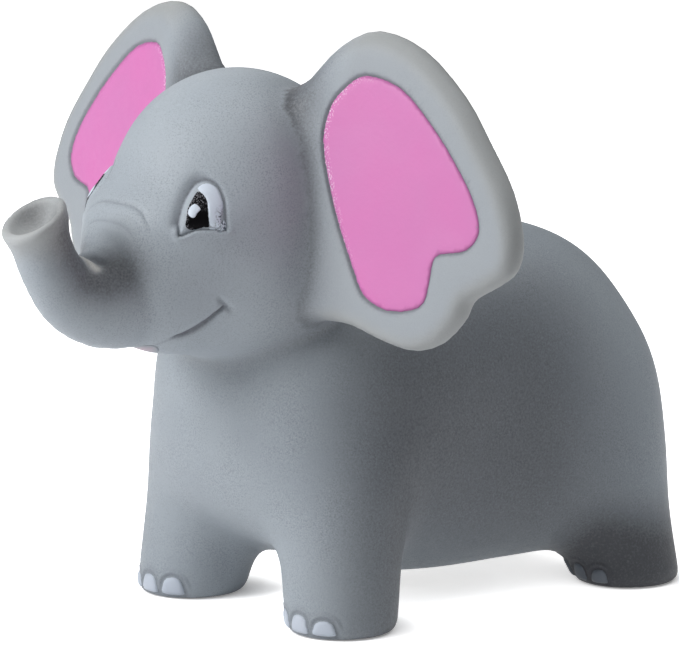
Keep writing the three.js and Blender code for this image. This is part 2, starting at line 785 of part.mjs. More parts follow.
function eyeFilms() {
  const frame = eyeFrame();
  const white = outlineOf(eyeOutlineShares, eyeWidth, eyeHeight);
  const pupil = shifted(
    outlineOf(pupilOutlineShares, pupilWidth, pupilHeight),
    pupilShiftShares.out * eyeWidth, pupilShiftShares.up * eyeHeight);
  const round = Array.from({ length: meshCounts.glintSides }, (_, i) => {
    const turn = (i / meshCounts.glintSides) * 2 * Math.PI;
    return new THREE.Vector2(glintRadius * Math.cos(turn), glintRadius * Math.sin(turn));
  });
  const glint = shifted(round, glintShiftShares.out * eyeWidth, glintShiftShares.up * eyeHeight);
  const room = (outline) => widened(outline, paintClearance);
  const through = (outline) => solidOf(drape(room(outline), frame, -2 * overrun, overrun, smallRingShares));
  const pupilRoom = through(anticlockwise(pupil));
  const glintRoom = through(anticlockwise(glint));
  return {
    recess: pocket(white, frame, smallRingShares),
    white: geometryOf(solidOf(film(white, frame, smallRingShares)).subtract(pupilRoom)),
    pupil: geometryOf(solidOf(film(pupil, frame, smallRingShares)).subtract(glintRoom)),
    glint: film(glint, frame, [1]),
  };
}

// The squeaker: a cup pressed into the belly, a cap, and a reed that lies against a slotted tube
const ridge = fitClearance * 3;
const plugDepth = squeakerWall + fitClearance;
const reedTubeHeight = squeakerHeight - squeakerWall - plugDepth - 2 * fitClearance;
const reedTubeFoot = squeakerWall + fitClearance;
const reedFlat = reedTubeRadius - reedThickness;
const reedMiddle = reedFlat + fitClearance + reedThickness / 2;

function squeakerCup() {
  const grip = seatHeight + fitClearance;
  return turned([
    [airHoleRadius, 0], [flangeRadius, 0], [flangeRadius, flangeThickness], [squeakerRadius, flangeThickness],
    [squeakerRadius, grip], [squeakerRadius + ridge, grip], [squeakerRadius, grip + 2 * ridge],
    [squeakerRadius, squeakerHeight], [squeakerRadius - squeakerWall, squeakerHeight],
    [squeakerRadius - squeakerWall, squeakerWall], [airHoleRadius, squeakerWall], [airHoleRadius, 0],
  ]);
}

function squeakerCap() {
  const plugRadius = squeakerRadius - squeakerWall - fitClearance;
  const plate = squeakerHeight + fitClearance;
  const disc = solidOf(turned([
    [0, squeakerHeight - plugDepth], [plugRadius, squeakerHeight - plugDepth], [plugRadius, plate],
    [squeakerRadius, plate], [squeakerRadius, plate + squeakerWall], [0, plate + squeakerWall],
  ]));
  const holeRing = (reedTubeRadius + plugRadius) / 2;
  const holes = [0, 1, 2, 3].map((quarter) => {
    const turn = (quarter + 0.5) * (Math.PI / 2);
    const hole = new THREE.CylinderGeometry(squeakerWall, squeakerWall, 3 * squeakerHeight, 12);
    const place = [holeRing * Math.cos(turn), holeRing * Math.sin(turn), 0];
    return solidOf(hole.rotateX(Math.PI / 2).translate(...place));
  });
  return geometryOf(holes.reduce((solid, hole) => solid.subtract(hole), disc));
}

function reedTube() {
  const top = reedTubeFoot + reedTubeHeight;
  const tube = solidOf(turned([
    [reedTubeBore, reedTubeFoot], [reedTubeRadius, reedTubeFoot], [reedTubeRadius, top], [0, top],
    [0, top - reedTubeRoof], [reedTubeBore, top - reedTubeRoof], [reedTubeBore, reedTubeFoot],
  ], 20));
  const windowMiddle = reedTubeFoot + windowRise + windowHeight / 2;
  const window = boxSolid(windowWidth, reedTubeRadius * 2, windowHeight, 0, reedTubeRadius, windowMiddle);
  const flat = boxSolid(
    4 * reedTubeRadius, reedTubeRadius, 4 * squeakerHeight,
    0, reedFlat + reedTubeRadius / 2, squeakerHeight / 2);
  return geometryOf(tube.subtract(window).subtract(flat));
}

function reedClamp() {
  const low = reedTubeFoot + fitClearance;
  const inner = reedTubeRadius + fitClearance;
  const outer = inner + clampWall;
  const ring = solidOf(turned([
    [inner, low], [outer, low], [outer, low + clampHeight], [inner, low + clampHeight], [inner, low],
  ], 24));
  const slot = boxSolid(
    reedWidth + 2 * fitClearance, reedMiddle + reedThickness / 2 + fitClearance, 4 * squeakerHeight,
    0, (reedMiddle + reedThickness / 2 + fitClearance) / 2, squeakerHeight / 2);
  return geometryOf(ring.subtract(slot));
}

function reedTongue() {
  const low = reedTubeFoot + fitClearance;
  return new THREE.BoxGeometry(reedWidth, reedThickness, reedLength)
    .translate(0, reedMiddle, low + reedLength / 2);
}

// The skin: the outside, less the hollow, with the seat of the squeaker, the pockets and the nostril cup
function seatSolids() {
  const face = seatRise;
  const place = (geometry) => solidOf(geometry.translate(0, squeakerBehind, 0));
  const boss = turned([
    [0, face], [seatRadius, face], [seatRadius, face + seatHeight], [0, face + seatHeight],
  ], 32);
  const bore = turned([
    [0, face - overrun], [squeakerRadius + fitClearance, face - overrun],
    [squeakerRadius + fitClearance, face + seatHeight + overrun], [0, face + seatHeight + overrun],
  ], 32);
  const shelf = face + flangeThickness + fitClearance;
  const step = turned([
    [0, face - overrun], [flangeRadius + fitClearance, face - overrun], [flangeRadius + fitClearance, shelf],
    [0, shelf],
  ], 32);
  return { boss: place(boss), bore: place(bore), step: place(step) };
}

function nostrilSolid() {
  const cup = new THREE.SphereGeometry(1, 20, 12);
  cup.rotateX(Math.PI / 2);
  cup.scale(nostrilRadius, nostrilRadius, nostrilDepth);
  cup.rotateX(trunkTilt);
  return solidOf(cup.translate(rim.x, rim.y, rim.z));
}

function skinBox() {
  const halfWidth = rumpHalfWidth + rearFootRadius;
  const front = -(trunkRootAhead + trunkReach + 2 * trunkRimRadius);
  const back = rumpBehind + 2 * rumpHalfLength;
  return new THREE.Box3(
    new THREE.Vector3(-halfWidth, front, -2 * skinCell),
    new THREE.Vector3(halfWidth, back, skullRise + skullHalfHeight + 2 * skinCell));
}

function skinSolid(pockets) {
  const box = skinBox();
  const seat = seatSolids();
  const floor = boxSolid(4 * box.max.x, 4 * box.max.y - 4 * box.min.y, overrun * 4, 0, 0, -overrun * 2);
  const leftEar = earMesh();
  let solid = solidOf(polygonise(torsoField, box, skinCell)).subtract(floor);
  solid = solid.add(solidOf(leftEar)).add(solidOf(mirrored(leftEar))).add(solidOf(trunkTip()));
  solid = solid.subtract(solidOf(polygonise(hollowField, box, hollowCell)));
  solid = solid.add(seat.boss).subtract(seat.bore).subtract(seat.step).subtract(nostrilSolid());
  for (const hole of pockets) solid = solid.subtract(solidOf(hole));
  return solid;
}

// The materials
const vinyl = { color: 0x8f979d, roughness: 0.55, metalness: 0 };
const pink = { color: 0xe08ac8, roughness: 0.5, metalness: 0 };
const white = { color: 0xe9edf2, roughness: 0.45, metalness: 0 };
const black = { color: 0x111114, roughness: 0.35, metalness: 0 };
const plastic = { color: 0xd8d6cf, roughness: 0.4, metalness: 0 };
const reedFilm = { color: 0xc9b98a, roughness: 0.3, metalness: 0 };

function named(name, geometry, finish) {
  const mesh = new THREE.Mesh(geometry, new THREE.MeshStandardMaterial(finish));
  mesh.name = name;
  return mesh;
}

function build() {
  const elephant = new THREE.Group();
  const pockets = [];
  const paintBothSides = (name, geometry, finish) => {
    elephant.add(named(`left_${name}`, geometry, finish));
    elephant.add(named(`right_${name}`, mirrored(geometry), finish));
  };
  const cutBothSides = (geometry) => pockets.push(geometry, mirrored(geometry));

  const panel = outlineOf(earPanelShares, earSpan, earHeight);
  paintBothSides('ear_pink', film(panel, earFrame, wideRingShares), pink);
  cutBothSides(pocket(panel, earFrame, wideRingShares));

  const eye = eyeFilms();
  paintBothSides('eye_white', eye.white, white);
  paintBothSides('eye_pupil', eye.pupil, black);
  paintBothSides('eye_glint', eye.glint, white);
  cutBothSides(eye.recess);

  const feet = [
    ['front', frontFoot, frontFootRadius, frontNailWidth, frontNailTurnDegrees],
    ['rear', rearFoot, rearFootRadius, rearNailWidth, rearNailTurnDegrees],
  ];
  for (const [end, foot, radius, width, turns] of feet) {
    const nail = outlineOf(nailOutlineShares, width, nailHeight);
    turns.forEach((degrees, i) => {
      const frame = nailFrame(foot, radius, degrees);
      paintBothSides(`${end}_${nailPlaces[i]}_nail`, film(nail, frame, [1]), white);
      cutBothSides(pocket(nail, frame, [1]));
    });
  }

  const lip = outlineOf(lipOutlineShares, lipWidth, lipLength);
  elephant.add(named('lip_pink', film(lip, lipFrame(), smallRingShares), pink));
  pockets.push(pocket(lip, lipFrame(), smallRingShares));

  const squeaker = new THREE.Group();
  squeaker.position.set(0, squeakerBehind, seatRise);
  squeaker.add(named('squeaker_cup', squeakerCup(), plastic));
  squeaker.add(named('squeaker_cap', squeakerCap(), plastic));
  squeaker.add(named('reed_tube', reedTube(), plastic));
  squeaker.add(named('reed_clamp', reedClamp(), plastic));
  squeaker.add(named('reed_tongue', reedTongue(), reedFilm));
  elephant.add(squeaker);

  const skin = geometryOf(skinSolid(pockets));
  elephant.add(named('vinyl_skin', skin, vinyl));
  skin.computeBoundingBox();
  elephant.position.y = -(skin.boundingBox.min.y + skin.boundingBox.max.y) / 2;
  return elephant;
}

export default build();
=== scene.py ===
"""A soft vinyl elephant: one hollow moulding with airbrushed and brushed paint, on a pale floor."""
import math

import bpy
import numpy as np
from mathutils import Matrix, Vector
from mathutils.geometry import delaunay_2d_cdt


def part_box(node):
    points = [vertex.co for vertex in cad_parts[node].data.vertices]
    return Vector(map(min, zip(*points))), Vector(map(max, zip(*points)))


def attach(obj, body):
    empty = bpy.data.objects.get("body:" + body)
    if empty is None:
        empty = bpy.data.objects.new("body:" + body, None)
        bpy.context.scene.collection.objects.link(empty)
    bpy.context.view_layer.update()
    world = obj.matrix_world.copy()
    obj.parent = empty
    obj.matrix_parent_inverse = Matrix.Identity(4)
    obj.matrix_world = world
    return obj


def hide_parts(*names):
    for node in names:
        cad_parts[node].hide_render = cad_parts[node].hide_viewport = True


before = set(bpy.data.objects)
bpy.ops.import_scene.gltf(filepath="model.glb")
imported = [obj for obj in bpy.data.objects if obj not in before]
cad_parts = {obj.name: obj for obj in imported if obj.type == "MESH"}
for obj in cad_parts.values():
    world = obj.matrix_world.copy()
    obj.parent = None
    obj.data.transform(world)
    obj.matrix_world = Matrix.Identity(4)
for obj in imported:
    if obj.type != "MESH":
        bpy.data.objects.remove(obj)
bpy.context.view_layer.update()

MM = 0.001
CELL = 0.85
DETAIL_LEVELS = 2
V = np.array

# All sizes below are in millimetres, before the shift by which the CAD centres the box of the elephant
SQUEAKER_BEHIND = 2.0
low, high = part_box("squeaker_cup")
SHIFT = V([0.0, (low[1] + high[1]) / 2 / MM - SQUEAKER_BEHIND, 0.0])

# Sizes of the moulding, as in the solids
CHEST = dict(centre=(0, -20.5, 30.5), half=(22.5, 19, 20.5), power=2.7)
BARREL = dict(centre=(0, 4.5, 28), half=(22.5, 32, 28), power=2.7)
RUMP = dict(centre=(0, 20.5, 24), half=(23.5, 18.5, 19.5), power=2.7)
SKULL = dict(centre=(0, -33, 63.3), half=(18.1, 18.8, 19), power=2.0)
JAW = dict(centre=(0, -32, 52.8), half=(19.8, 17.9, 14.1), power=2.0)
MUZZLE = dict(centre=(0, -32.2, 60.2), half=(17.5, 23.6, 8.6), power=2.5)
TORSO_BLEND = 10
BELLY_RISE = 4.8
BELLY_BLEND = 7
FRONT_FOOT = V([18.0, -28.0])
REAR_FOOT = V([19.5, 27.5])
FOOT_RADIUS = 8.3
FRONT_LEG = dict(foot=FRONT_FOOT, flare=0.06, inward=0.135, back=0.116)
REAR_LEG = dict(foot=REAR_FOOT, flare=0.02, inward=0.16, back=-0.1)
LEG_TOP, LEG_TOP_BLEND = 30, 16
LEG_BLEND = 8
HEAD_BLEND = 6
TRUNK_BLEND = 7
EAR_BLEND = 4
NECK_BLEND = 4
TAIL_BLEND = 2.5
SOLE_BLEND = 3
TRUNK_ROUTE = [
    (-44.8, 54.34, 13.4), (-51.3, 51.82, 8.98), (-57.8, 50.7, 7.28), (-63.52, 51.82, 5.21),
    (-67.16, 56.02, 4.45), (-69.11, 60.5, 4.45), (-70.8, 64.7, 5.35),
]
TRUNK_TILT = math.radians(32)
NOSTRIL = dict(radius=4.0, depth=3.4, blend=1.2)
TRUNK_CUT, TRUNK_CUT_BLEND = 0.8, 1.6
EAR_ORIGIN = V([13.0, -33.4, 64.0])
EAR_SPAN, EAR_HEIGHT, EAR_THICKNESS = 42.0, 45.0, 4.4
EAR_SWEEP = math.radians(12.5)
EAR_LEAN, EAR_CURL = 0.15, 1.3
EAR_DISH = dict(start=2, end=13, depth=0.5)
EAR_ROOT = dict(length=16, most=1.4, power=1.5, half=2)
EAR_MIDDLE, EAR_REACH = V([18.0, 0.0, -2.0]), V([26.0, 28.0, 12.0])
EAR_OUTLINE = [
    (0.02, 0.4), (0.14, 0.51), (0.29, 0.565), (0.49, 0.52), (0.69, 0.39), (0.82, 0.255), (0.94, 0.11),
    (1, -0.035), (0.99, -0.135), (0.92, -0.19), (0.82, -0.245), (0.785, -0.31), (0.7, -0.39), (0.585, -0.425),
    (0.45, -0.405), (0.31, -0.37), (0.14, -0.37), (-0.07, -0.39), (-0.14, 0), (-0.07, 0.32),
]
PANEL_OUTLINE = [
    (0.3, 0.43), (0.455, 0.4), (0.6, 0.3), (0.72, 0.19), (0.81, 0.085), (0.85, 0), (0.835, -0.05),
    (0.79, -0.083), (0.7, -0.1), (0.667, -0.12), (0.657, -0.185), (0.64, -0.258), (0.58, -0.29),
    (0.483, -0.298), (0.393, -0.267), (0.343, -0.207), (0.25, -0.05), (0.186, 0.09), (0.148, 0.207),
    (0.15, 0.27), (0.171, 0.335), (0.221, 0.39),
]
TAIL = [(40.0, 35.0, 1.9), (40.4, 27.5, 1.9), (39.6, 20.0, 2.9)]

# Outlines of the eye, in millimetres on the face, seen from in front of the eye
EYE_TURN, EYE_RISE = math.radians(38), math.radians(6)
EYE_SHIFT = 0.35
EYE_ARCH = [
    (-3.42, -5.06), (-3.69, -3.58), (-3.66, -1.9), (-3.39, 0.1), (-2.95, 1.35), (-2.2, 2.5), (-1.22, 3.05),
    (-0.2, 3.12), (0.75, 2.75), (1.53, 2.05), (2.15, 0.98), (2.6, -0.3), (2.84, -2.01), (2.99, -3.16),
    (3.12, -4.12), (0.58, -3.98), (-1.3, -4.2),
]
PUPIL = [
    (-1.51, 1.28), (-0.71, 0.99), (-0.03, 0.2), (0.22, -0.63), (0.38, -1.44), (0.71, -3.41), (-0.04, -3.55),
    (-0.62, -3.76), (-1.89, -4.0), (-2.59, -3.4), (-2.51, -2.33), (-2.46, -0.93), (-2.04, 0.14),
]
CRESCENT = [
    (-1.47, 1.81), (-0.99, 2.38), (-0.26, 2.66), (0.5, 2.48), (1.2, 2.13), (1.61, 1.59), (1.92, 0.91),
    (2.27, 0.07), (2.38, -0.56), (2.32, -1.44), (2.24, -2.46), (2.15, -3.55), (0.87, -3.34), (0.46, -1.44),
    (0.06, 0.2), (-0.74, 1.01),
]
GLINT = [
    (-2.24, -1.01), (-1.57, -0.5), (-0.79, -0.97), (-0.66, -1.31), (-1.03, -1.72), (-1.33, -2.3),
    (-1.73, -2.37), (-2.04, -2.15), (-2.35, -1.78),
]
CORNER_DAB = [
    (0.8, -3.6), (1.56, -3.62), (2.2, -3.7), (2.35, -2.95), (2.66, -2.53), (3.0, -2.85), (3.1, -3.9),
    (2.61, -4.14), (1.58, -4.05), (0.85, -3.9),
]

# Lines of the mouth and the folds of the trunk, in millimetres
MOUTH = [
    (13.34, -45.63, 49.97), (12.24, -46.61, 48.75), (11.17, -47.44, 47.53), (9.93, -48.5, 46.37),
    (8.73, -49.6, 45.52), (7.37, -50.93, 44.9), (5.51, -51.71, 43.99), (2.93, -52.3, 43.3), (0, -52.6, 43),
]
DIMPLE = [
    (13.71, -44.51, 48.99), (13.45, -45.34, 49.64), (13.32, -45.8, 50.03), (13.22, -46.43, 50.73),
    (13.13, -47.19, 51.64),
]
CROOK_FOLD = [
    (0, -60.9, 57.3), (1.5, -60.9, 57.15), (2.9, -60.5, 56.85), (3.8, -59.8, 56.6), (4.6, -58.8, 56.6),
]
CROOK_RIDGE = [(0, -62.0, 57.0), (1.4, -62.1, 56.8), (2.7, -62.0, 56.4), (3.7, -61.7, 55.9)]
CROOK_SHADE = [
    (5.6, -59.0, 55.2), (4.8, -61.3, 54.4), (4.0, -63.4, 55.2), (3.5, -65.4, 58.2), (3.8, -66.8, 61.6),
]
NAIL_TURNS = dict(front=(-32, 0, 32), rear=(-34, -8, 18))
NAIL_SIZE = dict(front=V([3.5, 2.6]), rear=V([2.7, 2.5]))
OUTER_NAIL_SHARES = V([1.0, 0.82])
NAIL_PLACES = ("inner", "middle", "outer")
NAIL_OUTLINE = [
    (-0.5, 0), (-0.48, 0.42), (-0.37, 0.8), (-0.14, 0.98), (0.14, 0.98), (0.37, 0.8), (0.48, 0.42), (0.5, 0),
    (0, -0.06),
]
NAIL_RISE = 0.9
LIP_OUTLINE = [
    (-0.5, 0.1), (-0.36, 0.42), (0, 0.5), (0.36, 0.42), (0.5, 0.1), (0.3, -0.36), (0, -0.5), (-0.3, -0.36),
]
LIP_SIZE = V([9.0, 4.4])
LIP_SHIFT = V([0, 1.5])
LIP_AHEAD, LIP_TILT = -52, math.radians(-60)


# Fields: the distance of points to a shape, less than zero inside
def smooth_min(a, b, blend):
    near = np.maximum(blend - np.abs(a - b), 0) / blend
    return np.minimum(a, b) - near ** 3 * blend / 6


def smooth_max(a, b, blend):
    return -smooth_min(-a, -b, blend)


def smooth_step(value, start, end):
    share = np.clip((value - start) / (end - start), 0, 1)
    return share * share * (3 - 2 * share)


def ridge(value, width):
    return np.exp(-(value / width) ** 2)


def blob(p, centre, half, power):
    q = np.abs(p - V(centre)) / V(half)
    reach = (q ** power).sum(1) ** (1 / power) + 1e-9
    slope = (q / reach[:, None]) ** (power - 1) / V(half)
    return (reach - 1) / (np.linalg.norm(slope, axis=1) + 1e-9)


def cone(p, start, end, radius_start, radius_end):
    along_axis = end - start
    length = np.linalg.norm(along_axis)
    along = (p - start) @ along_axis / length
    away = np.linalg.norm(p - start - np.outer(along, along_axis) / length, axis=1)
    slope = (radius_start - radius_end) / length
    share = np.clip((along + away * slope) / length, 0, 1)
    return np.hypot(away, along - share * length) - radius_start - (radius_end - radius_start) * share


def curve_through(points, per_span, closed=False):
    p = V(points, float)
    count = len(p)
    rows = []
    for i in range(count if closed else count - 1):
        before = p[i - 1] if closed or i else 2 * p[0] - p[1]
        here, there = p[i], p[(i + 1) % count]
        after = p[(i + 2) % count] if closed or i + 2 < count else 2 * p[-1] - p[-2]
        for t in np.arange(per_span) / per_span:
            square = 2 * before - 5 * here + 4 * there - after
            cube = 3 * here - before - 3 * there + after
            rows.append(0.5 * (2 * here + (there - before) * t + square * t * t + cube * t ** 3))
    if not closed:
        rows.append(p[-1])
    return V(rows)


def outline_distance(uv, outline):
    """Signed distance to a closed outline in a plane, less than zero inside."""
    least = np.full(len(uv), np.inf)
    sign = np.ones(len(uv))
    for a, b in zip(outline, np.roll(outline, 1, axis=0)):
        edge = b - a
        w = uv - a
        share = np.clip(w @ edge / (edge @ edge), 0, 1)
        least = np.minimum(least, ((w - share[:, None] * edge) ** 2).sum(1))
        above = uv[:, 1] >= a[1]
        below = uv[:, 1] < b[1]
        left = edge[0] * w[:, 1] > edge[1] * w[:, 0]
        sign[(above & below & left) | ~(above | below | left)] *= -1
    return sign * np.sqrt(least)


def line_distance(p, line):
    """Distance to an open line in space, and how far along it the nearest place is, as a share."""
    least = np.full(len(p), np.inf)
    place = np.zeros(len(p))
    spans = len(line) - 1
    for i in range(spans):
        edge = line[i + 1] - line[i]
        w = p - line[i]
        share = np.clip(w @ edge / (edge @ edge), 0, 1)
        gap = np.linalg.norm(w - share[:, None] * edge, axis=1)
        nearer = gap < least
        least[nearer] = gap[nearer]
        place[nearer] = (i + share[nearer]) / spans
    return least, place


class Plane:
    """A place on the toy with directions right, up and out, for outlines drawn on the skin."""

    def __init__(self, origin, turn, rise=0.0):
        ahead = V([math.sin(turn), -math.cos(turn), 0])
        self.out = ahead * math.cos(rise) + V([0, 0, math.sin(rise)])
        self.right = V([math.cos(turn), math.sin(turn), 0])
        self.up = np.cross(self.out, self.right)
        self.origin = V(origin, float)

    def flat(self, p):
        q = p - self.origin
        return np.stack([q @ self.right, q @ self.up], 1), q @ self.out


EAR_PLANE = Plane(EAR_ORIGIN, EAR_SWEEP)
EYE_PLANE = Plane(SKULL["centre"], EYE_TURN, EYE_RISE)
EYE_PLANE.origin = EYE_PLANE.origin + EYE_PLANE.out * SKULL["half"][0] + EYE_PLANE.right * EYE_SHIFT
LIP_PLANE = Plane((0, LIP_AHEAD, JAW["centre"][2] - JAW["half"][2]), 0, LIP_TILT)


def nail_planes():
    for end, foot in (("front", FRONT_FOOT), ("rear", REAR_FOOT)):
        for place, turn in zip(NAIL_PLACES, NAIL_TURNS[end]):
            size = NAIL_SIZE[end] * (OUTER_NAIL_SHARES if place == "outer" else 1)
            loop = curve_through(V(NAIL_OUTLINE) * size, 2, closed=True)
            plane = Plane((foot[0], foot[1], NAIL_RISE), math.radians(turn))
            plane.origin = plane.origin + plane.out * FOOT_RADIUS
            yield f"{end}_{place}_nail", plane, loop


NAILS = list(nail_planes())
EAR_LOOP = curve_through(V(EAR_OUTLINE) * [EAR_SPAN, EAR_HEIGHT], 3, closed=True)
PANEL_LOOP = curve_through(V(PANEL_OUTLINE) * [EAR_SPAN, EAR_HEIGHT], 3, closed=True)
EYE_LOOP = curve_through(EYE_ARCH, 3, closed=True)
LIP_LOOP = curve_through(V(LIP_OUTLINE) * LIP_SIZE + LIP_SHIFT, 2, closed=True)
MOUTH_LINE = curve_through(MOUTH, 2)
DIMPLE_LINE = V(DIMPLE)
FOLD_LINE = V(CROOK_FOLD, float)
RIDGE_LINE = V(CROOK_RIDGE, float)
SHADE_LINE = V(CROOK_SHADE, float)


def ear_back(v):
    """How far the middle of the ear lies behind its plane, by height."""
    return EAR_LEAN * v + EAR_CURL * (2 * v / EAR_HEIGHT) ** 2


def ear_field(p, reach=3.0):
    uv, w = EAR_PLANE.flat(p)
    far = (np.abs(np.column_stack([uv, w]) - EAR_MIDDLE) - EAR_REACH).max(1)
    result = np.maximum(far, reach)
    near = far < reach
    uv, w = uv[near], w[near]
    u, v = uv.T
    edge = outline_distance(uv, EAR_LOOP)
    dish = smooth_step(-edge, EAR_DISH["start"], EAR_DISH["end"])
    root = np.clip(1 - u / EAR_ROOT["length"], 0, EAR_ROOT["most"]) ** EAR_ROOT["power"] * EAR_ROOT["half"]
    half = EAR_THICKNESS / 2 + root
    behind = ear_back(v) + root + EAR_DISH["depth"] * dish
    a, b = edge + half, np.abs(w + behind)
    result[near] = np.hypot(np.maximum(a, 0), b) - half
    return result


def tube(p, stations):
    """A tube in the middle plane, through stations of y, z and radius."""
    result = np.full(len(p), np.inf)
    for (y0, z0, r0), (y1, z1, r1) in zip(stations, stations[1:]):
        result = np.minimum(result, cone(p, V([0, y0, z0]), V([0, y1, z1]), r0, r1))
    return result


def trunk_field(p):
    stations = list(TRUNK_ROUTE)
    y, z, radius = stations[-1]
    stations.append((y - math.sin(TRUNK_TILT) * radius, z + math.cos(TRUNK_TILT) * radius, radius))
    rise = V([0, -math.sin(TRUNK_TILT), math.cos(TRUNK_TILT)])
    q = p - V([0, y, z])
    above = q @ rise
    result = smooth_max(tube(p, curve_through(stations, 3)), above + TRUNK_CUT, TRUNK_CUT_BLEND)
    away = np.sqrt(np.maximum((q * q).sum(1) - above ** 2, 0))
    cup = np.sqrt((away / NOSTRIL["radius"]) ** 2 + (above / NOSTRIL["depth"]) ** 2) - 1
    return smooth_max(result, -cup * NOSTRIL["depth"], NOSTRIL["blend"])


def leg(p, foot, flare, inward, back):
    height = np.maximum(p[:, 2], 0)
    away = np.hypot(p[:, 0] - foot[0] + inward * height, p[:, 1] - foot[1] - back * height)
    return smooth_max(away - FOOT_RADIUS - flare * height, p[:, 2] - LEG_TOP, LEG_TOP_BLEND)


def body_field(p):
    front = smooth_min(blob(p, **CHEST), blob(p, **BARREL), TORSO_BLEND)
    torso = smooth_min(front, blob(p, **RUMP), TORSO_BLEND)
    torso = smooth_max(torso, BELLY_RISE - p[:, 2], BELLY_BLEND)
    body = smooth_min(torso, leg(p, **FRONT_LEG), LEG_BLEND)
    return smooth_min(body, leg(p, **REAR_LEG), LEG_BLEND)


def face_field(p):
    head = smooth_min(blob(p, **SKULL), blob(p, **JAW), HEAD_BLEND)
    head = smooth_min(head, blob(p, **MUZZLE), HEAD_BLEND)
    return smooth_min(head, trunk_field(p), TRUNK_BLEND)


def folded(p):
    return np.column_stack([np.abs(p[:, 0]), p[:, 1], p[:, 2]])


def skin_field(p):
    q = folded(p)
    head = smooth_min(face_field(q), ear_field(q), EAR_BLEND)
    body = smooth_min(body_field(q), tube(q, TAIL), TAIL_BLEND)
    return smooth_max(smooth_min(body, head, NECK_BLEND), -q[:, 2], SOLE_BLEND)


def slope_of(field, p, step=0.05):
    slope = np.empty_like(p)
    for axis in range(3):
        move = np.zeros(3)
        move[axis] = step
        slope[:, axis] = (field(p + move) - field(p - move)) / (2 * step)
    return slope


def settle(p, field, rounds=2):
    """Moves points onto the surface of a field."""
    for _ in range(rounds):
        slope = slope_of(field, p)
        pull = field(p) / np.maximum((slope ** 2).sum(1), 1e-6)
        p = p - slope * np.clip(pull, -CELL, CELL)[:, None]
    return p


# Meshing: one vertex in each cell that the surface crosses, and one quad across each crossed edge
SKIN_START, SKIN_END = (-57, -78, -3), (57, 46, 93)
NEAR_CELLS = 2.2
FAR = 99.0
BATCH = 300000


def mesh_field(field, start, end, cell, coarse=4):
    start, end = V(start, float), V(end, float)
    count = np.ceil((end - start) / cell / coarse).astype(int) * coarse + 1
    grid = [start[k] + cell * np.arange(count[k]) for k in range(3)]
    rough_grid = [axis[::coarse] for axis in grid]
    rough = field(np.stack(np.meshgrid(*rough_grid, indexing="ij"), -1).reshape(-1, 3))
    rough = rough.reshape([len(axis) for axis in rough_grid])
    corners = [(i, j, k) for i in (0, 1) for j in (0, 1) for k in (0, 1)]
    blocks = V(rough.shape) - 1
    near = np.zeros(blocks, bool)
    for i, j, k in corners:
        near |= np.abs(rough[i:i + blocks[0], j:j + blocks[1], k:k + blocks[2]]) < cell * coarse * NEAR_CELLS
    value = rough.repeat(coarse, 0).repeat(coarse, 1).repeat(coarse, 2)[:count[0], :count[1], :count[2]]
    value = np.where(value < 0, -FAR, FAR)
    fine = near.repeat(coarse, 0).repeat(coarse, 1).repeat(coarse, 2)
    wanted = np.zeros(count, bool)
    for i, j, k in corners:
        wanted[i:i + fine.shape[0], j:j + fine.shape[1], k:k + fine.shape[2]] |= fine
    places = np.argwhere(wanted)
    found = [field(start + part * cell) for part in np.array_split(places, max(1, len(places) // BATCH))]
    value[tuple(places.T)] = np.concatenate(found)
    inside = value < 0
    wide, deep, tall = count - 1
    held = sum(inside[i:wide + i, j:deep + j, k:tall + k].astype(int) for i, j, k in corners)
    cells = np.argwhere((held > 0) & (held < 8))
    owner = np.full(count - 1, -1)
    owner[tuple(cells.T)] = np.arange(len(cells))
    total = np.zeros((len(cells), 3))
    hits = np.zeros(len(cells))
    for axis in range(3):
        for corner in corners:
            if corner[axis]:
                continue
            other = list(corner)
            other[axis] = 1
            a = value[tuple((cells + corner).T)]
            b = value[tuple((cells + other).T)]
            cross = (a < 0) != (b < 0)
            place = np.tile(V(corner, float), (len(cells), 1))
            place[:, axis] = np.where(cross, a / np.where(cross, a - b, 1), 0)
            total += np.where(cross[:, None], place, 0)
            hits += cross
    points = start + (cells + total / hits[:, None]) * cell
    quads = []
    for axis in range(3):
        one, two = np.eye(3, dtype=int)[[(axis + 1) % 3, (axis + 2) % 3]]
        change = np.diff(inside.astype(int), axis=axis) != 0
        e = np.argwhere(change)
        e = e[(e @ one > 0) & (e @ two > 0) & (e @ one < count @ one - 1) & (e @ two < count @ two - 1)]
        quad = np.stack([owner[tuple((e - s).T)] for s in (one + two, two, 0 * one, one)], 1)
        outward = inside[tuple(e.T)]
        quad[~outward] = quad[~outward][:, ::-1]
        quads.append(quad)
    return points, np.concatenate(quads)


def refined(points, faces, chosen):
    """Splits the chosen quads in four; a face beside them gains the new points on its edges."""
    middles = {}
    added = []

    def middle(a, b):
        key = (a, b) if a < b else (b, a)
        if key not in middles:
            middles[key] = len(points) + len(added)
            added.append((points[a] + points[b]) / 2)
        return middles[key]

    result = []
    for face, wanted in zip(faces, chosen):
        if not wanted:
            continue
        a, b, c, d = face
        ab, bc, cd, da = middle(a, b), middle(b, c), middle(c, d), middle(d, a)
        centre = len(points) + len(added)
        added.append(points[[a, b, c, d]].mean(0))
        result += [(a, ab, centre, da), (ab, b, bc, centre), (centre, bc, c, cd), (da, centre, cd, d)]
    for face, wanted in zip(faces, chosen):
        if wanted:
            continue
        row = []
        for a, b in zip(face, face[1:] + face[:1]):
            row.append(a)
            key = (a, b) if a < b else (b, a)
            if key in middles:
                row.append(middles[key])
        result.append(tuple(row))
    return np.vstack([points, added]) if added else points, result
